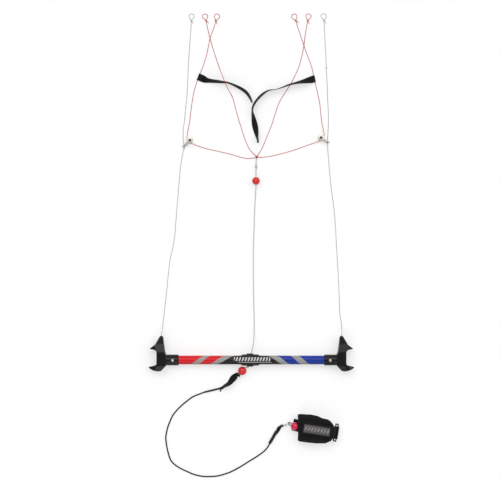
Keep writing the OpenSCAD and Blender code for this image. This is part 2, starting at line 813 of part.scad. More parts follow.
bar_tube();
left_grip();
right_grip();
centre_moulding();
line_guide();
left_winder();
right_winder();
winder_screws();
winder_nuts();
left_tube_plug();
right_tube_plug();
left_leader_knot();
right_leader_knot();
left_leader_lower();
right_leader_lower();
left_leader_upper();
right_leader_upper();
right_leader_mid_knot();
leader_end_loops();
brake_end_loops();
left_inner_brake_line();
left_outer_brake_line();
right_outer_brake_line();
right_inner_brake_line();
left_pulley_frame();
left_pulley_axle();
left_pulley_sheave();
left_pulley_tie();
right_pulley_frame();
right_pulley_axle();
right_pulley_sheave();
right_pulley_tie();
left_strap_end();
right_strap_end();
left_strap();
right_strap();
junction_knot();
safety_line();
stop_knot();
upper_ball();
lower_ball();
safety_line_end_knot();
leash_webbing_loop();
leash_knot();
leash_sleeve_front();
leash_cord();
leash_sleeve_rear();
swivel_eye();
swivel_barrel();
swivel_ring();
release_loop();
release_ball();
release_pin();
cuff_tab();
cuff_body();
closure_ring();
closure_strap();
closure_patch();
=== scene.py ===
"""The looks of a trainer kite's control bar, its line set and its wrist leash, laid out flat.

Everything is in metres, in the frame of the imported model: the bar lies along X, the lines run
towards +Y, and the ground is at z = 0.
"""
import logging
import math
import random
from collections.abc import Callable, Iterable, Sequence
from dataclasses import dataclass, field
from enum import Enum

import bmesh
import bpy
from mathutils import Matrix, Vector, noise


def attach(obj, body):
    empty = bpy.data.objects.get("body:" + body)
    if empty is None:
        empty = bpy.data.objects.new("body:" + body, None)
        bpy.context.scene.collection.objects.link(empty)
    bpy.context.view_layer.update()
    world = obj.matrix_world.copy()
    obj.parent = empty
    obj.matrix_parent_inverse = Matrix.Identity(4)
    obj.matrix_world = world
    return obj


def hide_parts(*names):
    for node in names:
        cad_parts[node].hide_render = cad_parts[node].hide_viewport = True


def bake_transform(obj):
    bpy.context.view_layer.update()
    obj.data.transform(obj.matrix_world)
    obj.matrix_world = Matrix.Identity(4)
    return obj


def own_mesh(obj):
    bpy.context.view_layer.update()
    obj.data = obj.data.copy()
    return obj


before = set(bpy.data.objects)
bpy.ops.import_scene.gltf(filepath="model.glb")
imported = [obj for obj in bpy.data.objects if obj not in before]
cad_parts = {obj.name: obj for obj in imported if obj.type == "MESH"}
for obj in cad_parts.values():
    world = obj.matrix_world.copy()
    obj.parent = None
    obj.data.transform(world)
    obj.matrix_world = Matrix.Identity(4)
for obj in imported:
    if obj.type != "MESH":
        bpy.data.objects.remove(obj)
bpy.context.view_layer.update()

LOG = logging.getLogger("control_bar")
MM = 0.001
FULL_TURN = 2 * math.pi
UP = Vector((0, 0, 1))

# Routes: the middle of each cord, as the model lays them out.
LEFT_LEADER_LOWER = (
    (-0.254, 0.044, 0.016), (-0.254, 0.056, 0.016), (-0.2536, 0.07, 0.0158), (-0.252, 0.084, 0.011),
    (-0.25, 0.102, 0.0035), (-0.247, 0.128, 0.0009), (-0.24, 0.19, 0.0009), (-0.231, 0.275, 0.0009),
    (-0.218, 0.34, 0.0009), (-0.212, 0.412, 0.0009), (-0.203, 0.52, 0.0009), (-0.199, 0.555, 0.0009),
    (-0.194, 0.585, 0.002), (-0.1908, 0.6, 0.004),
)
LEFT_LEADER_UPPER = (
    (-0.1908, 0.605, 0.004), (-0.193, 0.623, 0.002), (-0.193, 0.649, 0.0009), (-0.189, 0.678, 0.0009),
    (-0.186, 0.712, 0.0009), (-0.183, 0.736, 0.0009), (-0.18, 0.795, 0.0009), (-0.177, 0.855, 0.0009),
    (-0.172, 0.92, 0.0009), (-0.17, 0.957, 0.0015),
)
RIGHT_LEADER_LOWER = (
    (0.254, 0.044, 0.016), (0.254, 0.056, 0.016), (0.2546, 0.07, 0.0158), (0.255, 0.084, 0.011),
    (0.254, 0.105, 0.0035), (0.25, 0.134, 0.0009), (0.248, 0.19, 0.0009), (0.246, 0.232, 0.0009),
    (0.241, 0.322, 0.0009), (0.235, 0.412, 0.0009), (0.224, 0.502, 0.0009), (0.219, 0.56, 0.0009),
    (0.216, 0.595, 0.0025), (0.2153, 0.612, 0.004),
)
RIGHT_LEADER_UPPER = (
    (0.2154, 0.6165, 0.004), (0.216, 0.634, 0.002), (0.218, 0.678, 0.0009), (0.216, 0.736, 0.0009),
    (0.214, 0.785, 0.0009), (0.212, 0.824, 0.0009), (0.211, 0.855, 0.0009), (0.208, 0.909, 0.0009),
    (0.2055, 0.957, 0.0015),
)
LEFT_INNER = (
    (-0.128, 0.957, 0.0015), (-0.124, 0.938, 0.0009), (-0.117, 0.909, 0.0031), (-0.109, 0.881, 0.0009),
    (-0.099, 0.85, 0.0009), (-0.09, 0.823, 0.005), (-0.083, 0.804, 0.016), (-0.076, 0.786, 0.0224),
    (-0.069, 0.77, 0.017), (-0.061, 0.756, 0.006), (-0.052, 0.738, 0.0009), (-0.04, 0.693, 0.0009),
    (-0.021, 0.631, 0.0009), (-0.007, 0.598, 0.0009), (0.005, 0.583, 0.0025), (0.0125, 0.577, 0.004),
)
LEFT_OUTER = (
    (-0.101, 0.957, 0.0015), (-0.107, 0.936, 0.0009), (-0.117, 0.909, 0.0009), (-0.126, 0.865, 0.0009),
    (-0.137, 0.83, 0.0009), (-0.143, 0.815, 0.0021), (-0.149, 0.799, 0.0023), (-0.154, 0.786, 0.0021),
    (-0.159, 0.77, 0.0009), (-0.164, 0.752, 0.0009), (-0.17, 0.712, 0.0009), (-0.175, 0.671, 0.0009),
    (-0.18, 0.645, 0.0046), (-0.182, 0.631, 0.006), (-0.1823, 0.62, 0.006), (-0.18, 0.614, 0.006),
    (-0.174, 0.6116, 0.006), (-0.166, 0.61, 0.0058), (-0.15, 0.604, 0.003), (-0.121, 0.595, 0.0009),
    (-0.067, 0.583, 0.0009), (-0.029, 0.572, 0.0009), (-0.01, 0.569, 0.0009), (0.003, 0.5695, 0.002),
    (0.0115, 0.572, 0.004),
)
RIGHT_OUTER = (
    (0.126, 0.957, 0.0015), (0.136, 0.926, 0.0009), (0.148, 0.89, 0.0009), (0.16, 0.857, 0.0009),
    (0.169, 0.833, 0.0009), (0.1745, 0.811, 0.0021), (0.178, 0.794, 0.0023), (0.181, 0.779, 0.0021),
    (0.185, 0.763, 0.0009), (0.193, 0.726, 0.0009), (0.198, 0.68, 0.0009), (0.202, 0.655, 0.0042),
    (0.205, 0.64, 0.006), (0.2053, 0.628, 0.006), (0.2032, 0.6211, 0.006), (0.197, 0.6186, 0.006),
    (0.189, 0.6165, 0.0058), (0.176, 0.612, 0.003), (0.16, 0.607, 0.0009), (0.122, 0.593, 0.0009),
    (0.068, 0.578, 0.0009), (0.038, 0.573, 0.0009), (0.027, 0.572, 0.002), (0.0195, 0.5725, 0.004),
)
RIGHT_INNER = (
    (0.159, 0.957, 0.0015), (0.1545, 0.932, 0.0009), (0.151, 0.909, 0.0016), (0.1486, 0.89, 0.0031),
    (0.1455, 0.871, 0.0016), (0.141, 0.852, 0.0009), (0.133, 0.825, 0.0009), (0.113, 0.783, 0.0009),
    (0.096, 0.756, 0.0009), (0.079, 0.728, 0.0009), (0.067, 0.694, 0.0009), (0.057, 0.663, 0.0009),
    (0.033, 0.604, 0.0009), (0.024, 0.587, 0.0025), (0.018, 0.5775, 0.004),
)
SAFETY_LINE = (
    (0.014, 0.57, 0.0042), (0.0136, 0.561, 0.0024), (0.0132, 0.553, 0.003), (0.013, 0.541, 0.0036),
    (0.013, 0.532, 0.0065), (0.013, 0.522, 0.01), (0.013, 0.515, 0.011), (0.013, 0.505, 0.011),
    (0.013, 0.495, 0.011), (0.0126, 0.486, 0.0096), (0.012, 0.472, 0.0045), (0.011, 0.455, 0.0015),
    (0.0095, 0.425, 0.0015), (0.0076, 0.376, 0.0015), (0.006, 0.32, 0.0015), (0.0057, 0.268, 0.0015),
    (0.006, 0.21, 0.0015), (0.0068, 0.159, 0.0015), (0.0078, 0.11, 0.0015), (0.008, 0.084, 0.0035),
    (0.0066, 0.056, 0.01), (0.0036, 0.036, 0.0146), (-0.0004, 0.018, 0.016), (-0.004, 0, 0.016),
    (-0.0068, -0.013, 0.0158), (-0.0079, -0.0176, 0.0152), (-0.0096, -0.0206, 0.0142),
    (-0.0124, -0.0212, 0.0131), (-0.0157, -0.0212, 0.0124), (-0.019, -0.024, 0.01225),
    (-0.026, -0.031, 0.01225), (-0.033, -0.038, 0.01225), (-0.036, -0.041, 0.01225),
)
LEASH_CORD = (
    (-0.132, -0.0918, 0.0026), (-0.146, -0.097, 0.0021), (-0.17, -0.108, 0.002), (-0.199, -0.131, 0.002),
    (-0.219, -0.153, 0.002), (-0.233, -0.181, 0.002), (-0.24, -0.205, 0.002), (-0.242, -0.229, 0.002),
    (-0.231, -0.278, 0.002), (-0.213, -0.3, 0.002), (-0.179, -0.318, 0.002), (-0.15, -0.328, 0.002),
    (-0.12, -0.331, 0.002), (-0.09, -0.328, 0.002), (-0.06, -0.318, 0.002), (-0.031, -0.303, 0.002),
    (-0.004, -0.286, 0.002), (0.02, -0.271, 0.002), (0.037, -0.258, 0.0021), (0.047, -0.246, 0.0034),
    (0.0525, -0.2345, 0.0047),
)
LEFT_STRAP = (
    (-0.143, 0.797, 0, 0.0016), (-0.136, 0.794, 14, 0.0008), (-0.121, 0.789, 58, 0.0002),
    (-0.094, 0.786, 72, 0), (-0.076, 0.784, 81, 0), (-0.067, 0.783, 85, 0), (-0.051, 0.777, 80, 0),
    (-0.029, 0.766, 72, 0), (-0.013, 0.754, 70, 0), (-0.003, 0.739, 75, 0), (0.0025, 0.726, 84, 0),
)
RIGHT_STRAP = (
    (0.1715, 0.792, 0, 0.0016), (0.163, 0.7895, 22, 0.0008), (0.15, 0.786, 45, 0.001),
    (0.136, 0.783, 60, 0.0022), (0.122, 0.78, 69, 0.0026), (0.104, 0.775, 73, 0.0026),
    (0.091, 0.77, 77, 0.0015), (0.079, 0.766, 81, 0), (0.068, 0.763, 84, 0), (0.049, 0.76, 76, 0),
    (0.031, 0.749, 68, 0), (0.014, 0.731, 70, 0), (0.005, 0.715, 74, 0), (0.003, 0.702, 79, 0),
    (0.006, 0.685, 60, 0), (0.01, 0.663, 37, 0), (0.014, 0.644, 50, 0), (0.0175, 0.625, 75, 0),
    (0.0195, 0.613, 78, 0),
)
LEASH_LOOP = (
    (-0.039, -0.044, 54, 0.003), (-0.045, -0.048, 40, 0.001), (-0.051, -0.053, 32, 0),
    (-0.061, -0.066, 56, 0), (-0.071, -0.0725, 70, 0), (-0.081, -0.0785, 76, 0),
)
CUFF_OUTLINE = (
    (0.135, -0.154), (0.17, -0.156), (0.188, -0.16), (0.2, -0.166), (0.218, -0.17), (0.226, -0.177),
    (0.232, -0.187), (0.234, -0.21), (0.224, -0.226), (0.208, -0.233), (0.182, -0.233), (0.16, -0.231),
    (0.13, -0.227),
)


class Body(Enum):
    """The rigid bodies that the pieces ride on."""

    LINES = "lines"
    BAR = "bar"
    LEFT_SHEAVE = "left_sheave"
    RIGHT_SHEAVE = "right_sheave"
    UPPER_STOPPER = "upper_stopper"
    LOWER_STOPPER = "lower_stopper"
    SWIVEL = "swivel"
    CUFF = "cuff"
    RELEASE = "release"
    CLOSURE = "closure"


class Side(Enum):
    """The two ends of the bar; the value is the sign of X."""

    LEFT = -1
    RIGHT = 1

    @property
    def word(self) -> str:
        """The side's name as the pieces use it."""
        return self.name.lower()


# Materials ---------------------------------------------------------------------------------


def linear(code: str) -> tuple[float, float, float, float]:
    """Turns an sRGB hex colour into the linear RGBA that shaders take.

    Args:
        code: The colour, such as "#d8202f".

    Returns:
        Red, green, blue and alpha, each from 0 to 1.
    """
    parts = [int(code[i : i + 2], 16) / 255 for i in (1, 3, 5)]
    r, g, b = (c / 12.92 if c <= 0.04045 else ((c + 0.055) / 1.055) ** 2.4 for c in parts)
    return (r, g, b, 1.0)


def add_node(tree: bpy.types.NodeTree, kind: str, inputs: dict | None = None, **settings) -> bpy.types.Node:
    """Adds a node, sets its options, and sets or links its inputs.

    Args:
        tree: The node tree that the node goes into.
        kind: The node's type, such as "ShaderNodeMath".
        inputs: Input name or index to a value, or to the output socket that feeds it.
        **settings: The node's own options, such as operation="ADD".

    Returns:
        The new node.
    """
    node = tree.nodes.new(kind)
    for name, value in settings.items():
        setattr(node, name, value)
    for key, value in (inputs or {}).items():
        if isinstance(value, bpy.types.NodeSocket):
            tree.links.new(value, node.inputs[key])
        else:
            node.inputs[key].default_value = value
    return node


class Wiring:
    """A node tree under construction, with short ways to write sums and mixes."""

    def __init__(self, tree: bpy.types.NodeTree) -> None:
        """Starts on an empty tree."""
        self.tree = tree

    def math(self, operation: str, *values) -> bpy.types.NodeSocket:
        """Adds one sum.

        Args:
            operation: What to do, such as "MULTIPLY".
            *values: Numbers or sockets, in order.

        Returns:
            The result's socket.
        """
        return add_node(self.tree, "ShaderNodeMath", dict(enumerate(values)), operation=operation).outputs[0]

    def mix(self, factor, a, b) -> bpy.types.NodeSocket:
        """Mixes two colours.

        Args:
            factor: How much of b, a number or a socket.
            a: The first colour or socket.
            b: The second colour or socket.

        Returns:
            The mixed colour's socket.
        """
        node = add_node(self.tree, "ShaderNodeMix", data_type="RGBA")
        for key, value in ((0, factor), (6, a), (7, b)):
            if isinstance(value, bpy.types.NodeSocket):
                self.tree.links.new(value, node.inputs[key])
            else:
                node.inputs[key].default_value = value
        return node.outputs[2]

    def place(self, source: str) -> bpy.types.NodeSocket:
        """The coordinates that a pattern follows: "Object", in metres, or "UV", in millimetres."""
        return add_node(self.tree, "ShaderNodeTexCoord").outputs[source]

    def axes(self, place: bpy.types.NodeSocket) -> list[bpy.types.NodeSocket]:
        """The three parts of a place."""
        return list(add_node(self.tree, "ShaderNodeSeparateXYZ", {0: place}).outputs)

    def grain(self, place: bpy.types.NodeSocket, size: float, detail: float = 3.0) -> bpy.types.NodeSocket:
        """An uneven pattern.

        Args:
            place: The coordinates.
            size: How wide its patches are, in the coordinates' unit.
            detail: How many finer layers it has.

        Returns:
            Its strength's socket, from 0 to 1.
        """
        inputs = {"Vector": place, "Scale": 1 / size, "Detail": detail, "Roughness": 0.6}
        return add_node(self.tree, "ShaderNodeTexNoise", inputs).outputs[0]

    def wave(self, along: bpy.types.NodeSocket, pitch: float) -> bpy.types.NodeSocket:
        """A row of ridges, from 0 to 1, one per pitch of the coordinate along."""
        turned = self.math("MULTIPLY", along, FULL_TURN / pitch)
        return self.math("MULTIPLY_ADD", self.math("SINE", turned), 0.5, 0.5)

    def bump(self, height: bpy.types.NodeSocket, depth: float, strength: float = 1.0) -> bpy.types.NodeSocket:
        """Turns a height into a surface direction.

        Args:
            height: The pattern, from 0 to 1.
            depth: The real depth of the pattern, in metres.
            strength: How much of it shows.

        Returns:
            The normal's socket.
        """
        inputs = {"Height": height, "Distance": depth, "Strength": strength}
        return add_node(self.tree, "ShaderNodeBump", inputs).outputs[0]

    def spread(self, value: bpy.types.NodeSocket, low: float, high: float) -> bpy.types.NodeSocket:
        """Spreads a value from 0 to 1 over low to high."""
        return self.math("MULTIPLY_ADD", value, high - low, low)


@dataclass(frozen=True)
class Finish:
    """One real material with the way its surface was made."""

    slot: str
    colour: str
    roughness: float = 0.5
    label: str = "surface"
    shine: float = 0.5

    @property
    def name(self) -> str:
        """The material's own name."""
        return f"{self.slot}_{self.label}"

    def material(self) -> bpy.types.Material:
        """Makes the material, once.

        Returns:
            The Blender material of this finish's name.
        """
        made = bpy.data.materials.get(self.name)
        if made:
            return made
        made = bpy.data.materials.new(self.name)
        made.use_nodes = True
        tree = made.node_tree
        tree.nodes.clear()
        shader = add_node(tree, "ShaderNodeBsdfPrincipled",
                          {"Roughness": self.roughness, "Specular IOR Level": self.shine})
        add_node(tree, "ShaderNodeOutputMaterial", {"Surface": shader.outputs[0]})
        self.dress(Wiring(tree), shader)
        return made

    def dress(self, wiring: Wiring, shader: bpy.types.Node) -> None:
        """Gives the shader its colour and surface; each kind of finish has its own."""
        shader.inputs["Base Color"].default_value = linear(self.colour)

    def feed(self, wiring: Wiring, shader: bpy.types.Node, **sockets: bpy.types.NodeSocket) -> None:
        """Links sockets to the shader's inputs; names are in lower case with underscores."""
        for name, socket in sockets.items():
            wiring.tree.links.new(socket, shader.inputs[name.replace("_", " ").title()])


@dataclass(frozen=True)
class MouldedPlastic(Finish):
    """Injection moulded nylon or ABS: an even, spark-eroded grain with worn, shinier patches."""

    worn: str = "#3a3a3a"
    grain_mm: float = 0.5
    depth_mm: float = 0.03
    coat: float = 0.0

    def dress(self, wiring: Wiring, shader: bpy.types.Node) -> None:
        """Colours it, with handling marks that are paler and smoother."""
        place = wiring.place("Object")
        patches = wiring.grain(place, 18 * MM)
        colour = wiring.mix(wiring.spread(patches, -0.25, 0.55), linear(self.colour), linear(self.worn))
        rough = wiring.spread(patches, self.roughness + 0.1, self.roughness - 0.08)
        normal = wiring.bump(wiring.grain(place, self.grain_mm * MM, 2), self.depth_mm * MM)
        self.feed(wiring, shader, base_color=colour, roughness=rough, normal=normal)
        shader.inputs["Coat Weight"].default_value = self.coat
        shader.inputs["Coat Roughness"].default_value = 0.12


def bar_print(wiring: Wiring, colour: bpy.types.NodeSocket, place: bpy.types.NodeSocket) -> bpy.types.NodeSocket:
    """Prints a row of plain slanting bars, with a line under it, along the top of the bar's middle.

    Args:
        wiring: The tree.
        colour: The colour under the print.
        place: The place on the bar, in metres.

    Returns:
        The colour with the print on it.
    """
    x, y, z = wiring.axes(place)
    slant = wiring.math("MULTIPLY_ADD", y, -0.35, x)
    bars = wiring.math("LESS_THAN", wiring.math("PINGPONG", slant, 4.2 * MM), 2.1 * MM)
    row = wiring.math("MULTIPLY", wiring.math("COMPARE", y, 3.4 * MM, 5.4 * MM), wiring.math("COMPARE", x, 2 * MM, 51 * MM))
    line = wiring.math("MULTIPLY", wiring.math("COMPARE", y, -5.4 * MM, 0.7 * MM), wiring.math("COMPARE", x, 10 * MM, 46 * MM))
    shown = wiring.math("MAXIMUM", wiring.math("MULTIPLY", bars, row), line)
    shown = wiring.math("MULTIPLY", shown, wiring.math("GREATER_THAN", z, 16 * MM))
    worn = wiring.spread(wiring.grain(place, 1.5 * MM), 0.6, 1.0)
    return wiring.mix(wiring.math("MULTIPLY", shown, worn), colour, linear("#dcd9d8"))


@dataclass(frozen=True)
class PrintedMoulding(MouldedPlastic):
    """Moulded nylon with the bar's print pad-printed on it."""

    def dress(self, wiring: Wiring, shader: bpy.types.Node) -> None:
        """Adds the print to the moulded nylon's own colour."""
        super().dress(wiring, shader)
        under = shader.inputs["Base Color"].links[0].from_socket
        self.feed(wiring, shader, base_color=bar_print(wiring, under, wiring.place("Object")))


@dataclass(frozen=True)
class PrintedGrip(Finish):
    """A rubber sleeve shrunk on to the tube and printed with slanting stripes.

    Each edge in edges is where a stripe begins or ends, in millimetres from the bar's middle: at
    edge_turn degrees round the grip from its top, towards the kite and towards the flyer. The first
    edge is the middle panel's, and the colours then go grey, ground, grey, ground. The stripes wind
    round the grip, so each moves along it evenly with the angle round the bar's axis.
    """

    stripe: str = "#9b9b98"
    panel: str = "#161415"
    edges: tuple[tuple[float, float], ...] = ()
    axis_z: float = 16 * MM
    edge_turn: float = 70.0

    def dress(self, wiring: Wiring, shader: bpy.types.Node) -> None:
        """Prints the stripes across the grip and gives the rubber its fine grain."""
        place = wiring.place("Object")
        x, y, z = wiring.axes(place)
        outward = wiring.math("ABSOLUTE", x)
        round_axis = wiring.math("ARCTAN2", y, wiring.math("SUBTRACT", z, self.axis_z))
        across = wiring.math("MULTIPLY_ADD", round_axis, -0.5 / math.radians(self.edge_turn), 0.5)
        tone = wiring.grain(place, 7 * MM)
        ground = wiring.mix(wiring.spread(tone, 0.0, 0.16), linear(self.colour), linear("#101010"))
        stripe = wiring.mix(wiring.spread(wiring.grain(place, 2 * MM), 0.0, 0.3), linear(self.stripe), linear("#6f7270"))
        colour = wiring.mix(wiring.spread(tone, -0.1, 0.3), linear(self.panel), linear("#262425"))
        for number, (near, far) in enumerate(self.edges):
            edge = wiring.math("MULTIPLY_ADD", across, (far - near) * MM, near * MM)
            past = wiring.math("GREATER_THAN", outward, edge)
            colour = wiring.mix(past, colour, stripe if number % 2 == 0 else ground)
        colour = bar_print(wiring, colour, place)
        rough = wiring.spread(wiring.grain(place, 12 * MM), self.roughness - 0.08, self.roughness + 0.12)
        normal = wiring.bump(wiring.grain(place, 0.8 * MM, 2), 0.04 * MM)
        self.feed(wiring, shader, base_color=colour, roughness=rough, normal=normal)
        shader.inputs["Coat Weight"].default_value = 0.05
        shader.inputs["Coat Roughness"].default_value = 0.2


@dataclass(frozen=True)
class Braid(Finish):
    """A braided cord: two sets of strands that cross on the slant, worked out on its UV map, with painted shade in the
    gaps between the strands.
    """

    # The colour of the painted shade in the gaps between strands.
    painted_gap_shade: str = "#888888"
    around_mm: float = 5.65
    strands: int = 4
    depth_mm: float = 0.15
    sheen: float = 0.2

    def dress(self, wiring: Wiring, shader: bpy.types.Node) -> None:
        """Raises the strands and paints shade into the gaps between them, with a random fuzz of tone."""
        u, v, _ = wiring.axes(wiring.place("UV"))
        pitch = self.around_mm / self.strands
        left = wiring.wave(wiring.math("ADD", u, v), pitch)
        right = wiring.wave(wiring.math("SUBTRACT", u, v), pitch)
        height = wiring.math("MAXIMUM", left, right)
        fuzz = wiring.grain(wiring.place("Object"), 4 * MM)
        pale = wiring.math("MULTIPLY", height, wiring.spread(fuzz, 0.7, 1.3))
        # Painted shade: the gaps between strands are darkened toward the shade colour; the fuzz is random tone.
        colour = wiring.mix(pale, linear(self.painted_gap_shade), linear(self.colour))
        self.feed(wiring, shader, base_color=colour, normal=wiring.bump(height, self.depth_mm * MM))
        shader.inputs["Sheen Weight"].default_value = self.sheen
        shader.inputs["Sheen Roughness"].default_value = 0.5


@dataclass(frozen=True)
class Webbing(Finish):
    """Woven polyester webbing: ribs across it, columns along it, on its UV map in millimetres."""

    # The colour of the painted shade in the low places of the weave.
    painted_gap_shade: str = "#050505"
    rib_mm: float = 1.5
    column_mm: float = 2.4
    depth_mm: float = 0.25

    def dress(self, wiring: Wiring, shader: bpy.types.Node) -> None:
        """Weaves the ribs and columns, with painted shade in the low places between the threads, random dust, and a
        slight sheen.
        """
        u, v, _ = wiring.axes(wiring.place("UV"))
        lean = wiring.math("ADD", v, wiring.math("MULTIPLY", wiring.wave(u, 2 * self.column_mm), self.rib_mm))
        ribs = wiring.wave(lean, self.rib_mm)
        columns = wiring.wave(u, self.column_mm)
        height = wiring.math("MULTIPLY", ribs, wiring.spread(columns, 0.55, 1.0))
        dust = wiring.grain(wiring.place("Object"), 14 * MM)
        pale = wiring.math("MULTIPLY", height, wiring.spread(dust, 0.3, 1.2))
        # Painted shade: the low places of the weave are darkened toward the shade colour; the dust is random tone.
        colour = wiring.mix(pale, linear(self.painted_gap_shade), linear(self.colour))
        self.feed(wiring, shader, base_color=colour, normal=wiring.bump(height, self.depth_mm * MM))
        shader.inputs["Sheen Weight"].default_value = 0.08
        shader.inputs["Sheen Roughness"].default_value = 0.35


@dataclass(frozen=True)
class Steel(Finish):
    """Stamped and tumbled stainless steel: bright, with fine random scratches and dull patches."""

    scratch_mm: float = 0.6

    def dress(self, wiring: Wiring, shader: bpy.types.Node) -> None:
        """Makes it metal, and varies how dull it is."""
        place = wiring.place("Object")
        patches = wiring.grain(place, 3 * MM)
        colour = wiring.mix(wiring.spread(patches, 0.0, 0.35), linear(self.colour), linear("#7d7a72"))
        rough = wiring.spread(patches, self.roughness - 0.1, self.roughness + 0.15)
        stretched = add_node(wiring.tree, "ShaderNodeMapping", {"Vector": place, "Scale": (1.0, 9.0, 3.0)})
        scratches = wiring.grain(stretched.outputs[0], self.scratch_mm * MM, 2)
        normal = wiring.bump(scratches, 0.02 * MM)
        self.feed(wiring, shader, base_color=colour, roughness=rough, normal=normal)
        shader.inputs["Metallic"].default_value = 1.0


@dataclass(frozen=True)
class GlossBall(Finish):
    """A dip-moulded PVC ball: glossy, with a faint orange peel and scuffs from rubbing on the bar."""

    scuff: str = "#b01a22"

    def dress(self, wiring: Wiring, shader: bpy.types.Node) -> None:
        """Colours it, scuffs it and gives it its peel."""
        place = wiring.place("Object")
        scuffs = wiring.grain(place, 5 * MM, 5)
        colour = wiring.mix(wiring.spread(scuffs, -0.3, 0.9), linear(self.colour), linear(self.scuff))
        rough = wiring.spread(scuffs, self.roughness - 0.08, self.roughness + 0.16)
        normal = wiring.bump(wiring.grain(place, 1.6 * MM, 1), 0.05 * MM)
        self.feed(wiring, shader, base_color=colour, roughness=rough, normal=normal)
        shader.inputs["Coat Weight"].default_value = 0.2
        shader.inputs["Coat Roughness"].default_value = 0.2


@dataclass(frozen=True)
class Neoprene(Finish):
    """Foam rubber faced with a knitted nylon jersey: a fine rib of loops and a soft sheen."""

    # The colour of the painted shade between the knit's loops.
    painted_gap_shade: str = "#0a0a0b"
    knit_mm: float = 1.2

    def dress(self, wiring: Wiring, shader: bpy.types.Node) -> None:
        """Knits the face with painted shade between its loops, and lets the nap lighten unevenly."""
        u, v, _ = wiring.axes(wiring.place("UV"))
        loops = wiring.math("MULTIPLY", wiring.wave(u, self.knit_mm), wiring.wave(v, self.knit_mm * 0.75))
        nap = wiring.grain(wiring.place("Object"), 9 * MM, 4)
        pale = wiring.math("MULTIPLY_ADD", loops, 0.5, wiring.math("MULTIPLY", nap, 0.6))
        # Painted shade: the knit darkens between its loops; the nap is random tone.
        colour = wiring.mix(pale, linear(self.painted_gap_shade), linear(self.colour))
        self.feed(wiring, shader, base_color=colour, normal=wiring.bump(loops, 0.2 * MM))
        shader.inputs["Sheen Weight"].default_value = 0.06
        shader.inputs["Sheen Roughness"].default_value = 0.4


@dataclass(frozen=True)
class SatinPatch(Finish):
    """A woven satin strip with a shiny face and a row of plain slanting bars along its middle."""

    bar: str = "#a09c9b"
    bar_pitch_mm: float = 9.0
    row_mm: float = 5.0

    def dress(self, wiring: Wiring, shader: bpy.types.Node) -> None:
        """Weaves the satin and its plain bars, on the UV map in millimetres: v runs along the strip."""
        u, v, _ = wiring.axes(wiring.place("UV"))
        weave = wiring.wave(wiring.math("ADD", u, wiring.math("MULTIPLY", v, 0.5)), 0.9)
        ground = wiring.mix(wiring.spread(weave, 0.0, 0.35), linear(self.colour), linear("#2d2e31"))
        slant = wiring.math("MULTIPLY_ADD", u, 0.3, v)
        bars = wiring.math("LESS_THAN", wiring.math("PINGPONG", slant, self.bar_pitch_mm / 2), self.bar_pitch_mm / 4)
        row = wiring.math("COMPARE", wiring.math("PINGPONG", u, 11.5), 11.5, self.row_mm)
        worn = wiring.spread(wiring.grain(wiring.place("Object"), 2 * MM), 0.2, 0.9)
        shown = wiring.math("MULTIPLY", wiring.math("MULTIPLY", bars, row), worn)
        colour = wiring.mix(shown, ground, linear(self.bar))
        self.feed(wiring, shader, base_color=colour, normal=wiring.bump(weave, 0.06 * MM))
        shader.inputs["Sheen Weight"].default_value = 0.15
        shader.inputs["Coat Weight"].default_value = 0.25
        shader.inputs["Coat Roughness"].default_value = 0.25


@dataclass(frozen=True)
class Backdrop(Finish):
    """A light table's matt white sheet: it glows from below, so that shadows on it stay faint."""

    glow: float = 0.6

    def dress(self, wiring: Wiring, shader: bpy.types.Node) -> None:
        """Leaves the sheet plain, with the faintest unevenness, and lights it from below."""
        place = wiring.place("Object")
        colour = wiring.mix(wiring.grain(place, 0.4), linear(self.colour), linear("#a6a6a6"))
        self.feed(wiring, shader, base_color=colour)
        shader.inputs["Emission Color"].default_value = (1, 1, 1, 1)
        shader.inputs["Emission Strength"].default_value = self.glow


# Mesh helpers --------------------------------------------------------------------------------


def smoothed(route: Sequence[Sequence[float]], steps: int) -> list[Vector]:
    """Rounds a route into a smooth curve through all its points.

    Args:
        route: The points, with any number of values each.
        steps: How many pieces each stretch is cut into.

    Returns:
        The points of the curve.
    """
    points = [Vector(p) for p in route]
    curve = []
    for i in range(len(points) - 1):
        a, b, c = points[max(i - 1, 0)], points[i], points[i + 1]
        d = points[min(i + 2, len(points) - 1)]
        for j in range(steps):
            t = j / steps
            rise = (c - a) * t + (2 * a - 5 * b + 4 * c - d) * t * t + (3 * b - a - 3 * c + d) * t**3
            curve.append(b + 0.5 * rise)
    return [*curve, points[-1]]


def looped(route: Sequence[Sequence[float]], steps: int) -> list[Vector]:
    """Rounds a closed route; the last point isn't repeated."""
    count = len(route)
    padded = [route[(i - 2) % count] for i in range(count + 4)]
    return smoothed(padded, steps)[2 * steps : (count + 2) * steps]


def running(points: Sequence[Vector]) -> list[float]:
    """The distance from the first point to each point, along them all."""
    total = [0.0]
    for a, b in zip(points, points[1:]):
        total.append(total[-1] + (b - a).length)
    return total


def turns(count: int) -> list[float]:
    """Angles that share out a full turn."""
    return [FULL_TURN * i / count for i in range(count)]


def frames(path: Sequence[Vector], closed: bool = False, level: bool = True) -> list[tuple[Vector, Vector]]:
    """Finds the sideways and upward directions at each point of a path.

    Args:
        path: The points.
        closed: Whether the path joins up with itself.
        level: Keeps the sideways direction level. Otherwise it turns as little as it can.

    Returns:
        The two unit vectors of each point.
    """
    count = len(path)
    ahead = []
    for i in range(count):
        back = path[i - 1] if closed or i else path[0]
        front = path[(i + 1) % count] if closed or i < count - 1 else path[-1]
        ahead.append((front - back).normalized())
    if level:
        sides = [UP.cross(t).normalized() for t in ahead]
        return [(s, t.cross(s)) for s, t in zip(sides, ahead)]
    side = ahead[0].orthogonal().normalized()
    sides = []
    for t in [*ahead, ahead[0]]:
        side = (side - t * side.dot(t)).normalized()
        sides.append(side)
    if closed:
        twist = math.atan2(sides[-1].cross(sides[0]).dot(ahead[0]), sides[-1].dot(sides[0]))
        sides = [Matrix.Rotation(twist * i / count, 3, t) @ s for i, (s, t) in enumerate(zip(sides, ahead))]
    return [(s, t.cross(s)) for s, t in zip(sides, ahead)]


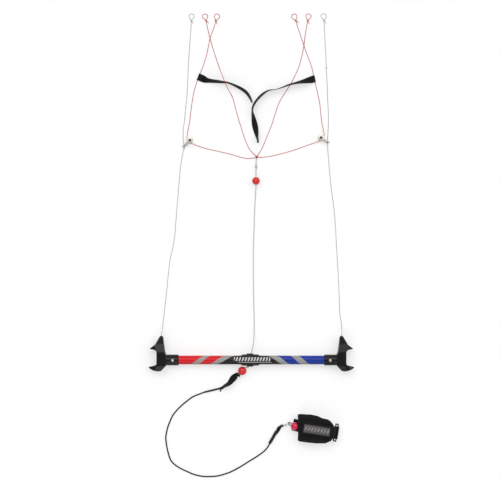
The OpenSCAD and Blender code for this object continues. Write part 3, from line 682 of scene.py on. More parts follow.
def strip_section(width: float, thickness: float, layers: int = 1) -> list[tuple[float, float]]:
    """The outline of webbing cut across, with soft edges.

    Args:
        width: Its full width.
        thickness: Its full thickness.
        layers: 1, or 2 for doubled webbing with a groove between its layers.

    Returns:
        Points as (sideways, up), all the way round.
    """
    w, t = width / 2, thickness / 2
    if layers == 1:
        edge = [(w - t, -t), (w - 0.3 * t, -0.7 * t), (w, 0), (w - 0.3 * t, 0.7 * t), (w - t, t)]
    else:
        edge = [(w - t, -t), (w, -0.6 * t), (w - 0.8 * t, 0), (w, 0.6 * t), (w - t, t)]
    top = [(w * k, t) for k in (0.5, 0, -0.5)]
    return [*edge, *top, *[(-a, -b) for a, b in edge], *[(-a, -b) for a, b in top]]


def lying_strip(route: Sequence[Sequence[float]], width: float, thickness: float, steps: int) -> tuple[list[Vector], list[float]]:
    """Lays webbing along a route of (x, y, turn from flat in degrees, height of its lower edge).

    Args:
        route: The route.
        width: The webbing's width.
        thickness: The webbing's thickness.
        steps: How many pieces each stretch is cut into.

    Returns:
        The middle of the webbing and its turn at each point, in radians.
    """
    path, tilts = [], []
    for x, y, turn, lift in smoothed(route, steps):
        tilt = math.radians(turn)
        path.append(Vector((x, y, lift + abs(math.sin(tilt)) * width / 2 + abs(math.cos(tilt)) * thickness / 2)))
        tilts.append(tilt)
    return path, tilts


class Shell:
    """A closed surface under construction, with a UV map in millimetres."""

    def __init__(self) -> None:
        """Starts empty."""
        self.bm = bmesh.new()
        self.uv = self.bm.loops.layers.uv.new("UVMap")

    def loft(self, rings: Sequence[Sequence[Vector]], along: bool = False) -> "Shell":
        """Lays a grid over rings of points, and closes it.

        Args:
            rings: The rings in order, each with the same number of points.
            along: Whether the last ring joins the first.

        Returns:
            This shell.
        """
        columns, rows = len(rings[0]) + 1, len(rings) + int(along)
        grid = bmesh.ops.create_grid(self.bm, x_segments=columns - 1, y_segments=rows - 1, size=1)["verts"]
        spot = {v: (round((v.co.x + 1) / 2 * (columns - 1)), round((v.co.y + 1) / 2 * (rows - 1))) for v in grid}
        middle = rings[len(rings) // 2]
        across = running([middle[i % len(middle)] for i in range(columns)])
        length = running([rings[j % len(rings)][0] for j in range(rows)])
        for vert, (i, j) in spot.items():
            vert.co = rings[j % len(rings)][i % len(middle)]
        for face in {f for v in grid for f in v.link_faces}:
            for loop in face.loops:
                i, j = spot[loop.vert]
                loop[self.uv].uv = (across[i] / MM, length[j] / MM)
        bmesh.ops.remove_doubles(self.bm, verts=grid, dist=1e-7)
        rim = [e for e in self.bm.edges if e.is_boundary]
        if rim:
            bmesh.ops.holes_fill(self.bm, edges=rim, sides=0)
        return self

    def tube(self, path: Sequence[Vector], radius: float | Sequence[float], sides: int = 10,
             closed: bool = False, level: bool = True, dome: bool = False) -> "Shell":
        """Skins a round tube along a path.

        Args:
            path: The middle of the tube.
            radius: Its radius, or one for each point.
            sides: How many faces go round it.
            closed: Whether it joins up with itself.
            level: As in frames.
            dome: Rounds its two ends.

        Returns:
            This shell.
        """
        radii = list(radius) if isinstance(radius, Sequence) else [radius] * len(path)
        stations = list(zip(path, frames(path, closed, level), radii))
        if dome:
            for end, step in ((0, -1), (-1, 1)):
                centre, (side, up), r = stations[end]
                out = step * side.cross(up)
                for angle in (0.55, 1.1, 1.5):
                    added = (centre + out * r * math.sin(angle), (side, up), r * math.cos(angle))
                    stations.insert(0 if end == 0 else len(stations), added)
        rings = [
            [centre + r * (math.cos(a) * side + math.sin(a) * up) for a in turns(sides)]
            for centre, (side, up), r in stations
        ]
        return self.loft(rings, along=closed)

    def strip(self, path: Sequence[Vector], tilts: Sequence[float], section: Sequence[tuple[float, float]],
              fold: float = 0.0, cup: float = 0.0) -> "Shell":
        """Skins webbing along a path.

        Args:
            path: The middle of the webbing.
            tilts: How far it is turned from flat at each point, in radians.
            section: Its outline, as (sideways, up).
            fold: Over what length each end is rounded off, as at a fold.
            cup: How far its edges curl up.

        Returns:
            This shell.
        """
        total = running(path)
        half = max(a for a, _ in section)
        rings = []
        for centre, (side, up), tilt, run in zip(path, frames(path), tilts, total):
            near = min(run, total[-1] - run)
            thin = 1.0 if not fold or near >= fold else math.sqrt(max(0.04, 1 - (1 - near / fold) ** 2))
            flat, out = math.cos(tilt) * side + math.sin(tilt) * up, math.cos(tilt) * up - math.sin(tilt) * side
            rings.append([centre + a * flat + (b * thin + cup * (a / half) ** 2) * out for a, b in section])
        return self.loft(rings)

    def turned(self, profile: Sequence[tuple[float, float]], foot: Vector, axis: Vector, sides: int = 48,
               closed: bool = False) -> "Shell":
        """Spins a profile about an axis.

        Args:
            profile: Points as (distance along the axis, radius).
            foot: The axis's start.
            axis: Its direction, one unit long.
            sides: How many steps go round it.
            closed: Whether the profile joins up with itself, as for a pipe's wall.

        Returns:
            This shell.
        """
        out = axis.orthogonal().normalized()
        row = [self.bm.verts.new(foot + along * axis + r * out) for along, r in profile]
        pairs = list(zip(row, row[1:])) + ([(row[-1], row[0])] if closed else [])
        edges = [self.bm.edges.new(pair) for pair in pairs]
        bmesh.ops.spin(self.bm, geom=row + edges, cent=foot, axis=axis, angle=FULL_TURN, steps=sides, use_merge=True)
        bmesh.ops.remove_doubles(self.bm, verts=self.bm.verts, dist=1e-7)
        rim = [e for e in self.bm.edges if e.is_boundary]
        if rim:
            bmesh.ops.holes_fill(self.bm, edges=rim, sides=0)
        return self

    def knot(self, centre: Vector, reach: float, radius: float, turn: float = 0.0, tilt: float = 0.0) -> "Shell":
        """Ties an overhand knot, pulled tight.

        Args:
            centre: Its middle.
            reach: How far the cord's middle gets from the knot's.
            radius: The cord's radius.
            turn: Turns it about the upright, in degrees.
            tilt: Tips it over, in degrees.

        Returns:
            This shell.
        """
        spun = Matrix.Rotation(math.radians(turn), 3, "Z") @ Matrix.Rotation(math.radians(tilt), 3, "X")
        path = [
            centre + spun @ (Vector((math.sin(a) + 2 * math.sin(2 * a), math.cos(a) - 2 * math.cos(2 * a),
                                     -1.3 * math.sin(3 * a))) * reach / 3)
            for a in turns(48)
        ]
        return self.tube(path, radius, 8, closed=True, level=False)

    def stitches(self, path: Sequence[Vector], pitch: float = 3.2 * MM, length: float = 2.4 * MM,
                 radius: float = 0.32 * MM) -> "Shell":
        """Sews a row of stitches over a surface.

        Args:
            path: The row, on the surface.
            pitch: From one stitch to the next.
            length: Each stitch's length.
            radius: The thread's radius.

        Returns:
            This shell.
        """
        total = running(path)
        for number in range(int((total[-1] - length) / pitch) + 1):
            spots = []
            for share, lift in ((0, -0.3), (0.25, 0.6), (0.75, 0.6), (1, -0.3)):
                want = number * pitch + share * length
                i = max(1, next((k for k, run in enumerate(total) if run >= want), len(path) - 1))
                part = (want - total[i - 1]) / max(total[i] - total[i - 1], 1e-9)
                spots.append(path[i - 1].lerp(path[i], part) + UP * lift * radius)
            self.tube(spots, radius, 5)
        return self

    def copy_of(self, *nodes: str) -> "Shell":
        """Takes copies of the model's own parts, merged at their shared points, all on the first material."""
        for node in nodes:
            self.bm.from_mesh(bpy.data.objects[node].data)
        bmesh.ops.remove_doubles(self.bm, verts=self.bm.verts, dist=2e-6)
        for face in self.bm.faces:
            face.material_index = 0
        return self

    def eased(self, offset: float, segments: int = 2, angle: float = 28.0) -> "Shell":
        """Rounds every edge that turns by more than angle degrees.

        Args:
            offset: How far the rounding reaches.
            segments: How many faces make it up.
            angle: The smallest turn that counts as an edge, in degrees.

        Returns:
            This shell.
        """
        bmesh.ops.dissolve_limit(
            self.bm, angle_limit=math.radians(0.6), use_dissolve_boundaries=False, verts=self.bm.verts,
            edges=self.bm.edges, delimit=set(),
        )
        sharp = [e for e in self.bm.edges if len(e.link_faces) == 2 and e.calc_face_angle(0) > math.radians(angle)]
        bmesh.ops.bevel(
            self.bm, geom=sharp, offset=offset, offset_type="OFFSET", segments=segments, profile=0.5,
            affect="EDGES", clamp_overlap=True, loop_slide=True, material=-1,
        )
        return self

    def moved(self, shift: Callable[[Vector], Vector]) -> "Shell":
        """Moves every vertex by what shift gives for its place."""
        for vert in self.bm.verts:
            vert.co += shift(vert.co)
        return self

    def mesh(self, name: str, sharp: float = 40.0, outward: bool = True) -> bpy.types.Mesh:
        """Ends the work on this shell.

        Args:
            name: The mesh's name.
            sharp: Edges that turn by more than this, in degrees, stay crisp.
            outward: Turns the faces outwards first.

        Returns:
            The finished mesh.
        """
        if outward:
            bmesh.ops.recalc_face_normals(self.bm, faces=self.bm.faces)
        made = bpy.data.meshes.new(name)
        self.bm.to_mesh(made)
        self.bm.free()
        if "custom_normal" in made.attributes:
            made.attributes.remove(made.attributes["custom_normal"])
        made.shade_smooth()
        made.set_sharp_from_angle(angle=math.radians(sharp))
        return made


def remeshed(mesh: bpy.types.Mesh, voxel: float, rounds: int) -> bpy.types.Mesh:
    """Melts a mesh into one soft-edged skin, as a mould leaves it.

    Args:
        mesh: The mesh.
        voxel: The fineness of the new skin.
        rounds: How many times it is smoothed.

    Returns:
        The new mesh.
    """
    blank = bpy.data.objects.new(mesh.name + "_blank", mesh)
    bpy.context.scene.collection.objects.link(blank)
    melt = blank.modifiers.new("Melt", "REMESH")
    melt.mode, melt.voxel_size, melt.adaptivity = "VOXEL", voxel, 0
    soften = blank.modifiers.new("Soften", "SMOOTH")
    soften.factor, soften.iterations = 0.5, rounds
    ready = blank.evaluated_get(bpy.context.evaluated_depsgraph_get())
    made = bpy.data.meshes.new_from_object(ready)
    made.name = mesh.name
    made.materials.clear()
    bpy.data.objects.remove(blank)
    made.shade_smooth()
    return made


def piece(name: str, source: Shell | bpy.types.Mesh, body: Body, finish: Finish, nodes: Iterable[str] = ()) -> bpy.types.Object:
    """Puts one finished piece into the scene, on its body.

    Args:
        name: The piece's name.
        source: Its shell or mesh.
        body: What it moves with.
        finish: What it is made of.
        nodes: The model's own parts that it stands for.

    Returns:
        The new object.
    """
    made = source.mesh(name) if isinstance(source, Shell) else source
    made.name = name
    made.materials.append(finish.material())
    obj = bpy.data.objects.new(name, made)
    bpy.context.scene.collection.objects.link(obj)
    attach(obj, body.value)
    if nodes:
        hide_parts(*nodes)
    LOG.info("%s: %d faces on %s", name, len(made.polygons), body.value)
    return obj


@dataclass(frozen=True)
class Cord:
    """One length of cord: how it runs, how thick it is and how it behaves."""

    name: str
    route: tuple[tuple[float, ...], ...]
    diameter: float
    finish: Finish
    nodes: tuple[str, ...] = ()
    body: Body = Body.LINES
    far_end: str = "object"
    stiffness: str = "limp"
    steps: int = 8
    sides: int = 10
    wander: float = 0.35 * MM

    def middle(self) -> list[Vector]:
        """The cord's middle, with the small unevenness of a cord that was let fall."""
        path = smoothed(self.route, self.steps)
        total = running(path)
        for i, run in enumerate(total):
            free = min(1.0, run / (25 * MM), (total[-1] - run) / (25 * MM))
            stray = noise.noise_vector(path[i] * 40)
            path[i] = path[i] + Vector((stray.x, stray.y, 0)) * self.wander * free
        return path

    def build(self, with_pieces: Sequence[bpy.types.Object] = ()) -> bpy.types.Object:
        """Makes the cord.

        Args:
            with_pieces: The knots and loops that are on it; not used.

        Returns:
            The cord's object.
        """
        path = self.middle()
        obj = piece(self.name, Shell().tube(path, self.diameter / 2, self.sides), self.body, self.finish, self.nodes)
        return obj


# Finishes of this object ---------------------------------------------------------------------

# Glass-filled nylon, injection moulded: near black, a matt grain with shinier handled patches.
MOULDED_NYLON = MouldedPlastic("black_nylon", "#171618", 0.36, worn="#29282a", shine=0.35)
# The same nylon, pad-printed at the bar's middle.
CENTRE_PRINT = PrintedMoulding("black_nylon", "#171618", 0.36, worn="#262527", label="printed", shine=0.35)
# The same nylon from a polished mould: it catches the light along its rounded edges.
GLOSSY_NYLON = MouldedPlastic("glossy_black_nylon", "#111012", 0.24, worn="#1d1c1f", grain_mm=1.1, shine=0.32)
# Printed heat-shrunk rubber: smooth and slightly shiny, the print's stripes a touch uneven.
STRIPES_LEFT = ((49.0, 100.0), (78.0, 121.0), (116.0, 152.0), (134.0, 175.0))
STRIPES_RIGHT = ((47.0, 89.0), (73.0, 110.0), (110.0, 141.0), (133.0, 166.0))
RED_GRIP = PrintedGrip("red_grip", "#dc1222", 0.34, edges=STRIPES_LEFT, shine=0.3)
BLUE_GRIP = PrintedGrip("blue_grip", "#113398", 0.34, edges=STRIPES_RIGHT, shine=0.3)
# Anodised aluminium tube: an even satin grey with drawing marks.
ALLOY_TUBE = Steel("anodised_alloy", "#b9bcc0", 0.38)
# Tumbled stainless steel: bright, with fine scratches.
STAINLESS = Steel("stainless_steel", "#e2dfd8", 0.45)
# Oil-blackened steel: dark and satin.
BLACKENED = Steel("blackened_steel", "#3a3a3d", 0.36)
# Machined acetal: creamy white, waxy.
ACETAL = MouldedPlastic("ivory_acetal", "#e9e2cf", 0.38, worn="#cfc7b2", grain_mm=0.3, depth_mm=0.01)
# Cut closed-cell polyethylene foam: matt, open bubbles on the cut face.
FOAM = MouldedPlastic("closed_cell_foam", "#d9cba8", 0.9, worn="#c2b288", grain_mm=1.1, depth_mm=0.25)
# Braided high-strength line with no cover: silvery white, strands that show. The braid is drawn
# two to three times as coarse as the real one, so that it shows.
WHITE_LINE = Braid("white_leader_line", "#b9bbbb", 0.55, painted_gap_shade="#6f7273", around_mm=5.6, strands=3)
SAFETY_LINE_BRAID = Braid("white_safety_line", "#d3d4d6", 0.6, painted_gap_shade="#8b8f94", around_mm=9.4, strands=4, depth_mm=0.2)
RED_LINE = Braid("red_brake_line", "#cf3730", 0.6, painted_gap_shade="#741a17", around_mm=5.6, strands=3)
# Braided polyester over a stretchy core: black with a faint sheen.
BLACK_CORD = Braid("black_cord", "#1b1a1c", 0.7, painted_gap_shade="#050505", around_mm=12.5, strands=5, depth_mm=0.25, sheen=0.05, shine=0.2)
# Woven polyester webbing, ribbed across.
BLACK_WEBBING = Webbing("black_webbing", "#1d1c1e", 0.75, shine=0.2)
# Heat-shrunk polyolefin over a doubled cord: satin, slightly pebbled.
SHRINK = MouldedPlastic("shrink_sleeve", "#161517", 0.42, worn="#272628", grain_mm=1.4, depth_mm=0.08, shine=0.3)
# Dip-moulded PVC balls.
RED_BALL = GlossBall("red_ball", "#e01f20", 0.38)
CRIMSON_BALL = GlossBall("crimson_ball", "#dc2a52", 0.3, scuff="#a8173a")
# Neoprene faced with nylon jersey.
NEOPRENE = Neoprene("black_neoprene", "#201f21", 0.85, shine=0.15)
# Woven satin strip.
SATIN = SatinPatch("grey_patch", "#504d4d", 0.5)
# Bonded polyester thread.
THREAD = Braid("black_webbing", "#2c2b2d", 0.6, painted_gap_shade="#131313", around_mm=2.0, strands=2, depth_mm=0.05, label="thread", shine=0.3)


# Sub-assemblies ------------------------------------------------------------------------------


@dataclass(frozen=True)
class Bar:
    """The tube with its two grips, the moulding at its middle, its bush and its foam plugs."""

    axis_z: float = 16 * MM
    grip_r: float = 12.5 * MM
    tube_r: float = 10.5 * MM
    grip_inner: tuple[float, float] = (-16 * MM, 10 * MM)
    grip_outer: float = 205 * MM
    plug_span: tuple[float, float] = (163.5 * MM, 213.5 * MM)
    plug_r: float = 8.9 * MM

    def build(self) -> None:
        """Builds the whole bar, without its winders."""
        for side, finish, inner in zip(Side, (RED_GRIP, BLUE_GRIP), self.grip_inner):
            self.grip(side, finish, inner)
            self.plug(side)
        skin = remeshed(Shell().copy_of("centre_moulding").mesh("moulding", outward=False), 0.8 * MM, 8)
        piece("moulded_centre", skin, Body.BAR, CENTRE_PRINT, ["centre_moulding"])
        piece("bush", Shell().copy_of("line_guide").eased(0.5 * MM, 3), Body.BAR, GLOSSY_NYLON, ["line_guide"])
        piece("alloy_tube", Shell().copy_of("bar_tube").eased(0.3 * MM), Body.BAR, ALLOY_TUBE, ["bar_tube"])
        piece("button_screws", Shell().copy_of("winder_screws").eased(0.45 * MM, 3), Body.BAR, STAINLESS, ["winder_screws"])
        piece("hex_nuts", Shell().copy_of("winder_nuts").eased(0.3 * MM), Body.BAR, STAINLESS, ["winder_nuts"])

    def grip(self, side: Side, finish: Finish, inner: float) -> None:
        """Makes a grip's sleeve, with its ends rolled and its skin a little uneven.

        Args:
            side: Which end of the bar it is on.
            finish: Its print.
            inner: Where it stops under the moulding.
        """
        start, end = sorted((inner, side.value * self.grip_outer))
        roll = 0.9 * MM
        outer = [(start + roll * (1 - math.cos(a)), self.grip_r - roll * (1 - math.sin(a))) for a in (0, 0.5, 1.05)]
        outer += [(start + (end - start) * k / 40, self.grip_r) for k in range(1, 40)]
        outer += [(end - roll * (1 - math.cos(a)), self.grip_r - roll * (1 - math.sin(a))) for a in (1.05, 0.5, 0)]
        profile = [*outer, (end, self.tube_r), (start, self.tube_r)]
        shell = Shell().turned(profile, Vector((0, 0, self.axis_z)), Vector((1, 0, 0)), 64, closed=True)
        shell.moved(self.unevenness)
        piece(f"{side.word}_printed_sleeve", shell, Body.BAR, finish, [f"{side.word}_grip"])

    def unevenness(self, place: Vector) -> Vector:
        """How far the shrunk rubber stands proud or lies low at a place."""
        out = Vector((0, place.y, place.z - self.axis_z))
        lift = 0.18 * MM * noise.noise(place * 55) if out.length > self.tube_r + 0.5 * MM else 0
        return out.normalized() * lift

    def plug(self, side: Side) -> None:
        """Makes the foam plug inside one end of the tube, with soft ends."""
        start, end = sorted(side.value * x for x in self.plug_span)
        soft = 1.5 * MM
        profile = [(start, 0), (start, self.plug_r - soft), (start + 0.3 * soft, self.plug_r - 0.3 * soft),
                   (start + soft, self.plug_r), (end - soft, self.plug_r),
                   (end - 0.3 * soft, self.plug_r - 0.3 * soft), (end, self.plug_r - soft), (end, 0)]
        shell = Shell().turned(profile, Vector((0, 0, self.axis_z)), Vector((1, 0, 0)), 32)
        obj = piece(f"{side.word}_foam_plug", shell, Body.BAR, FOAM, [f"{side.word}_tube_plug"])


@dataclass(frozen=True)
class Winder:
    """The moulded end that the lines are wound on, with the leader's knot in its pocket."""

    side: Side
    knot_at: tuple[float, float, float] = (254 * MM, 37.5 * MM, 16 * MM)

    def build(self) -> None:
        """Builds the winder and the knot."""
        node = f"{self.side.word}_winder"
        skin = remeshed(Shell().copy_of(node).mesh(node + "_skin", outward=False), 0.9 * MM, 12)
        piece(f"moulded_{node}", skin, Body.BAR, GLOSSY_NYLON, [node])
        x, y, z = self.knot_at
        knot = Shell().knot(Vector((self.side.value * x, y, z)), 2.7 * MM, 0.9 * MM, turn=30, tilt=60)
        piece(f"{self.side.word}_leader_stop", knot, Body.BAR, WHITE_LINE, [f"{self.side.word}_leader_knot"])


@dataclass(frozen=True)
class EndLoop:
    """The loop at the end of a line, knotted, with a short tail."""

    name: str
    at: tuple[float, float]
    turn: float
    finish: Finish
    node: str
    cord_r: float = 0.9 * MM
    body: Body = Body.LINES
    outline: tuple[tuple[float, float, float], ...] = (
        (0.2, 2.2, 2.4), (-2.4, 5.5, 1.6), (-5.9, 10, 1.0), (-7.8, 14.6, 0.95), (-5.4, 19.6, 0.95),
        (0, 21.3, 0.95), (5.2, 19.2, 0.95), (7.4, 14.2, 0.95), (5.6, 9.8, 1.1), (2.1, 5.2, 1.8), (-0.2, 2.2, 2.6),
    )
    tail: tuple[tuple[float, float, float], ...] = ((0, 1.5, 2.6), (2.6, -0.4, 2.0), (4.4, -3.2, 1.0), (5.2, -6.4, 0.95))

    def build(self) -> bpy.types.Object:
        """Builds the loop, its knot and its tail as one piece."""
        turned = Matrix.Rotation(math.radians(self.turn), 3, "Z")
        foot = Vector((*self.at, 0))
        shell = Shell()
        for route in (self.outline, self.tail):
            shell.tube([foot + turned @ (p * MM) for p in smoothed(route, 5)], self.cord_r, 8, level=False, dome=True)
        shell.knot(foot + turned @ (Vector((0, 1.6, 2.6)) * MM), 1.8 * MM, self.cord_r, self.turn, 40)
        return piece(self.name, shell, self.body, self.finish, [self.node])


@dataclass(frozen=True)
class LineSet:
    """The two leaders and the four brake lines, with their knots and loops."""

    thickness: float = 1.8 * MM
    slide: Vector = field(default_factory=lambda: Vector((0.0347, 0.9994, 0)).normalized())
    travel: float = 0.475

    def build(self) -> None:
        """Builds all the lines."""
        for side, lower, upper in ((Side.LEFT, LEFT_LEADER_LOWER, LEFT_LEADER_UPPER),
                                   (Side.RIGHT, RIGHT_LEADER_LOWER, RIGHT_LEADER_UPPER)):
            self.leader(side, lower, upper)
        self.brakes()

    def leader(self, side: Side, lower: tuple, upper: tuple) -> None:
        """Builds one leader, from the winder to the pulley and on to its loop.

        Args:
            side: Which side it is on.
            lower: The route up to the pulley; this part goes slack when the bar slides up.
            upper: The route from the pulley on.
        """
        word = side.word
        slack = Cord(f"{word}_leader_to_pulley", lower, self.thickness, WHITE_LINE, (f"{word}_leader_lower",)).build()
        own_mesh(slack)
        at = upper[-1][:2]
        loop = EndLoop(f"{word}_leader_loop", at, -4 if side is Side.LEFT else 3, WHITE_LINE, "leader_end_loops").build()
        on_it = [loop]
        if side is Side.RIGHT:
            knot = Shell().knot(Vector((212, 824, 2.2)) * MM, 1.5 * MM, 0.9 * MM, 20, 30)
            on_it.append(piece("leader_mid_stop", knot, Body.LINES, WHITE_LINE, ["right_leader_mid_knot"]))
        Cord(f"{word}_leader_to_loop", upper, self.thickness, WHITE_LINE, (f"{word}_leader_upper",),
             far_end="knot").build(on_it)

    def brakes(self) -> None:
        """Builds the four brake lines, which meet at one knot."""
        plans = (
            ("left_inner", LEFT_INNER, 12), ("left_outer", LEFT_OUTER, -16),
            ("right_outer", RIGHT_OUTER, 18), ("right_inner", RIGHT_INNER, -11),
        )
        for name, route, turn in plans:
            loop = EndLoop(f"{name}_loop", route[0][:2], turn, RED_LINE, "brake_end_loops").build()
            Cord(f"{name}_brake", tuple(reversed(route)), self.thickness, RED_LINE, (f"{name}_brake_line",),
                 far_end="knot", steps=6).build([loop])
        shell = Shell().knot(Vector((15.5, 573.5, 4.5)) * MM, 3.4 * MM, 1.1 * MM, 15, 20)
        shell.knot(Vector((15.5, 572.5, 4.2)) * MM, 2.6 * MM, 1.1 * MM, 75, 70)
        piece("brake_junction", shell, Body.LINES, RED_LINE, ["junction_knot"])


@dataclass(frozen=True)
class Pulley:
    """A small line pulley lying on its side, tied to a leader."""

    side: Side
    at: tuple[float, float]
    turn: float
    knot_reach: float
    post_reach: float = 15.5 * MM
    mid_z: float = 6 * MM

    def build(self) -> None:
        """Builds the cheeks, axle, sheave and tie."""
        word = self.side.word
        sheave = Body.LEFT_SHEAVE if self.side is Side.LEFT else Body.RIGHT_SHEAVE
        cheeks = Shell().copy_of(f"{word}_pulley_frame").eased(0.35 * MM)
        piece(f"{word}_cheeks", cheeks, Body.LINES, STAINLESS, [f"{word}_pulley_frame"])
        axle = Shell().copy_of(f"{word}_pulley_axle").eased(0.3 * MM)
        piece(f"{word}_axle", axle, Body.LINES, BLACKENED, [f"{word}_pulley_axle"])
        wheel = Shell().copy_of(f"{word}_pulley_sheave").eased(0.3 * MM)
        piece(f"{word}_wheel", wheel, sheave, ACETAL, [f"{word}_pulley_sheave"])
        piece(f"{word}_tie", self.tie(), Body.LINES, WHITE_LINE, [f"{word}_pulley_tie"])

    def tie(self) -> Shell:
        """Makes the cord that goes round the frame's post and is knotted to the leader."""
        along = Matrix.Rotation(math.radians(self.turn), 3, "Z")
        foot = Vector((*self.at, 0))
        reach, post, mid = self.knot_reach / MM, self.post_reach / MM, self.mid_z / MM
        route = ((reach, 0.5, 4), (post + 3, 2.4, mid - 0.6), (post, 3.4, mid), (post - 2.6, 2.2, mid),
                 (post - 3.4, 0, mid), (post - 2.6, -2.2, mid), (post, -3.4, mid), (post + 3, -2.4, mid + 0.6),
                 (reach, -0.5, 4.4))
        shell = Shell().tube([foot + along @ (p * MM) for p in smoothed(route, 5)], 0.9 * MM, 8, level=False)
        centre = foot + along @ Vector((self.knot_reach, 0, 4 * MM))
        shell.knot(centre, 3.0 * MM, 0.95 * MM, self.turn, 25)
        for sign in (-1, 1):
            tail = ((reach, 0, 4), (reach + 2, sign * 3, 3), (reach + 4.5, sign * 5.2, 1.2))
            shell.tube([foot + along @ (p * MM) for p in smoothed(tail, 4)], 0.85 * MM, 8, level=False, dome=True)
        return shell


@dataclass(frozen=True)
class LandingStrap:
    """The webbing that joins the two outer brake lines and gathers them in when it is pulled."""

    width: float = 20 * MM
    thickness: float = 1.4 * MM

    def build(self) -> None:
        """Builds both arms and the folded ends that the brake lines run through."""
        plans = ((Side.LEFT, LEFT_STRAP, (-149 * MM, 799.5 * MM), -20.5), (Side.RIGHT, RIGHT_STRAP, (178 * MM, 794 * MM), 11.5))
        for side, route, at, turn in plans:
            end, seam = self.folded_end(side, at, turn)
            path, tilts = lying_strip(route, self.width, self.thickness, 8)
            shell = Shell().strip(path, tilts, strip_section(self.width, self.thickness), cup=0.6 * MM)
            arm = piece(f"{side.word}_strap_arm", shell, Body.LINES, BLACK_WEBBING, [f"{side.word}_strap"])

    def folded_end(self, side: Side, at: tuple[float, float], turn: float) -> tuple[bpy.types.Object, bpy.types.Object]:
        """Makes the end of an arm, folded back round the brake line and sewn.

        Args:
            side: Which side it is on.
            at: Where the brake line passes through it.
            turn: How it is turned, in degrees.

        Returns:
            The folded webbing and its stitching.
        """
        sign = -side.value
        bend = [(-1.8 * math.sin(a), 2.5 - 1.8 * math.cos(a)) for a in (0, 0.52, 1.05, 1.57, 2.09, 2.62, math.pi)]
        profile = [(7.5, 0.75), (4, 0.7), *bend, (2.2, 3.7), (4.6, 2.5), (7.5, 2.2)]
        placed = Matrix.Translation(Vector((*at, 0))) @ Matrix.Rotation(math.radians(turn), 4, "Z")
        half, wall = self.width / 2, self.thickness / 2
        shell = Shell()
        line = [Vector((sign * x, 0, z)) * MM for x, z in profile]
        rings = []
        for i, point in enumerate(line):
            ahead = (line[min(i + 1, len(line) - 1)] - line[max(i - 1, 0)]).normalized()
            out = ahead.cross(Vector((0, 1, 0)))
            section = strip_section(2 * half, 2 * wall)
            rings.append([placed @ (point + Vector((0, a, 0)) + out * b) for a, b in section])
        shell.loft(rings)
        folded = piece(f"{side.word}_strap_fold", shell, Body.LINES, BLACK_WEBBING, [f"{side.word}_strap_end"])
        top = 3.3 * MM
        rows = [
            [Vector((sign * x * MM, y * MM, top - 0.25 * MM * (x - 5))) for x, y in row]
            for row in (((3.8, -8), (3.8, 8)), ((6.8, -8), (6.8, 8)), ((3.8, -8), (6.8, 8)), ((3.8, 8), (6.8, -8)))
        ]
        sewn = Shell()
        for row in rows:
            sewn.stitches([placed @ p for p in row])
        return folded, piece(f"{side.word}_strap_bartack", sewn, Body.LINES, THREAD)


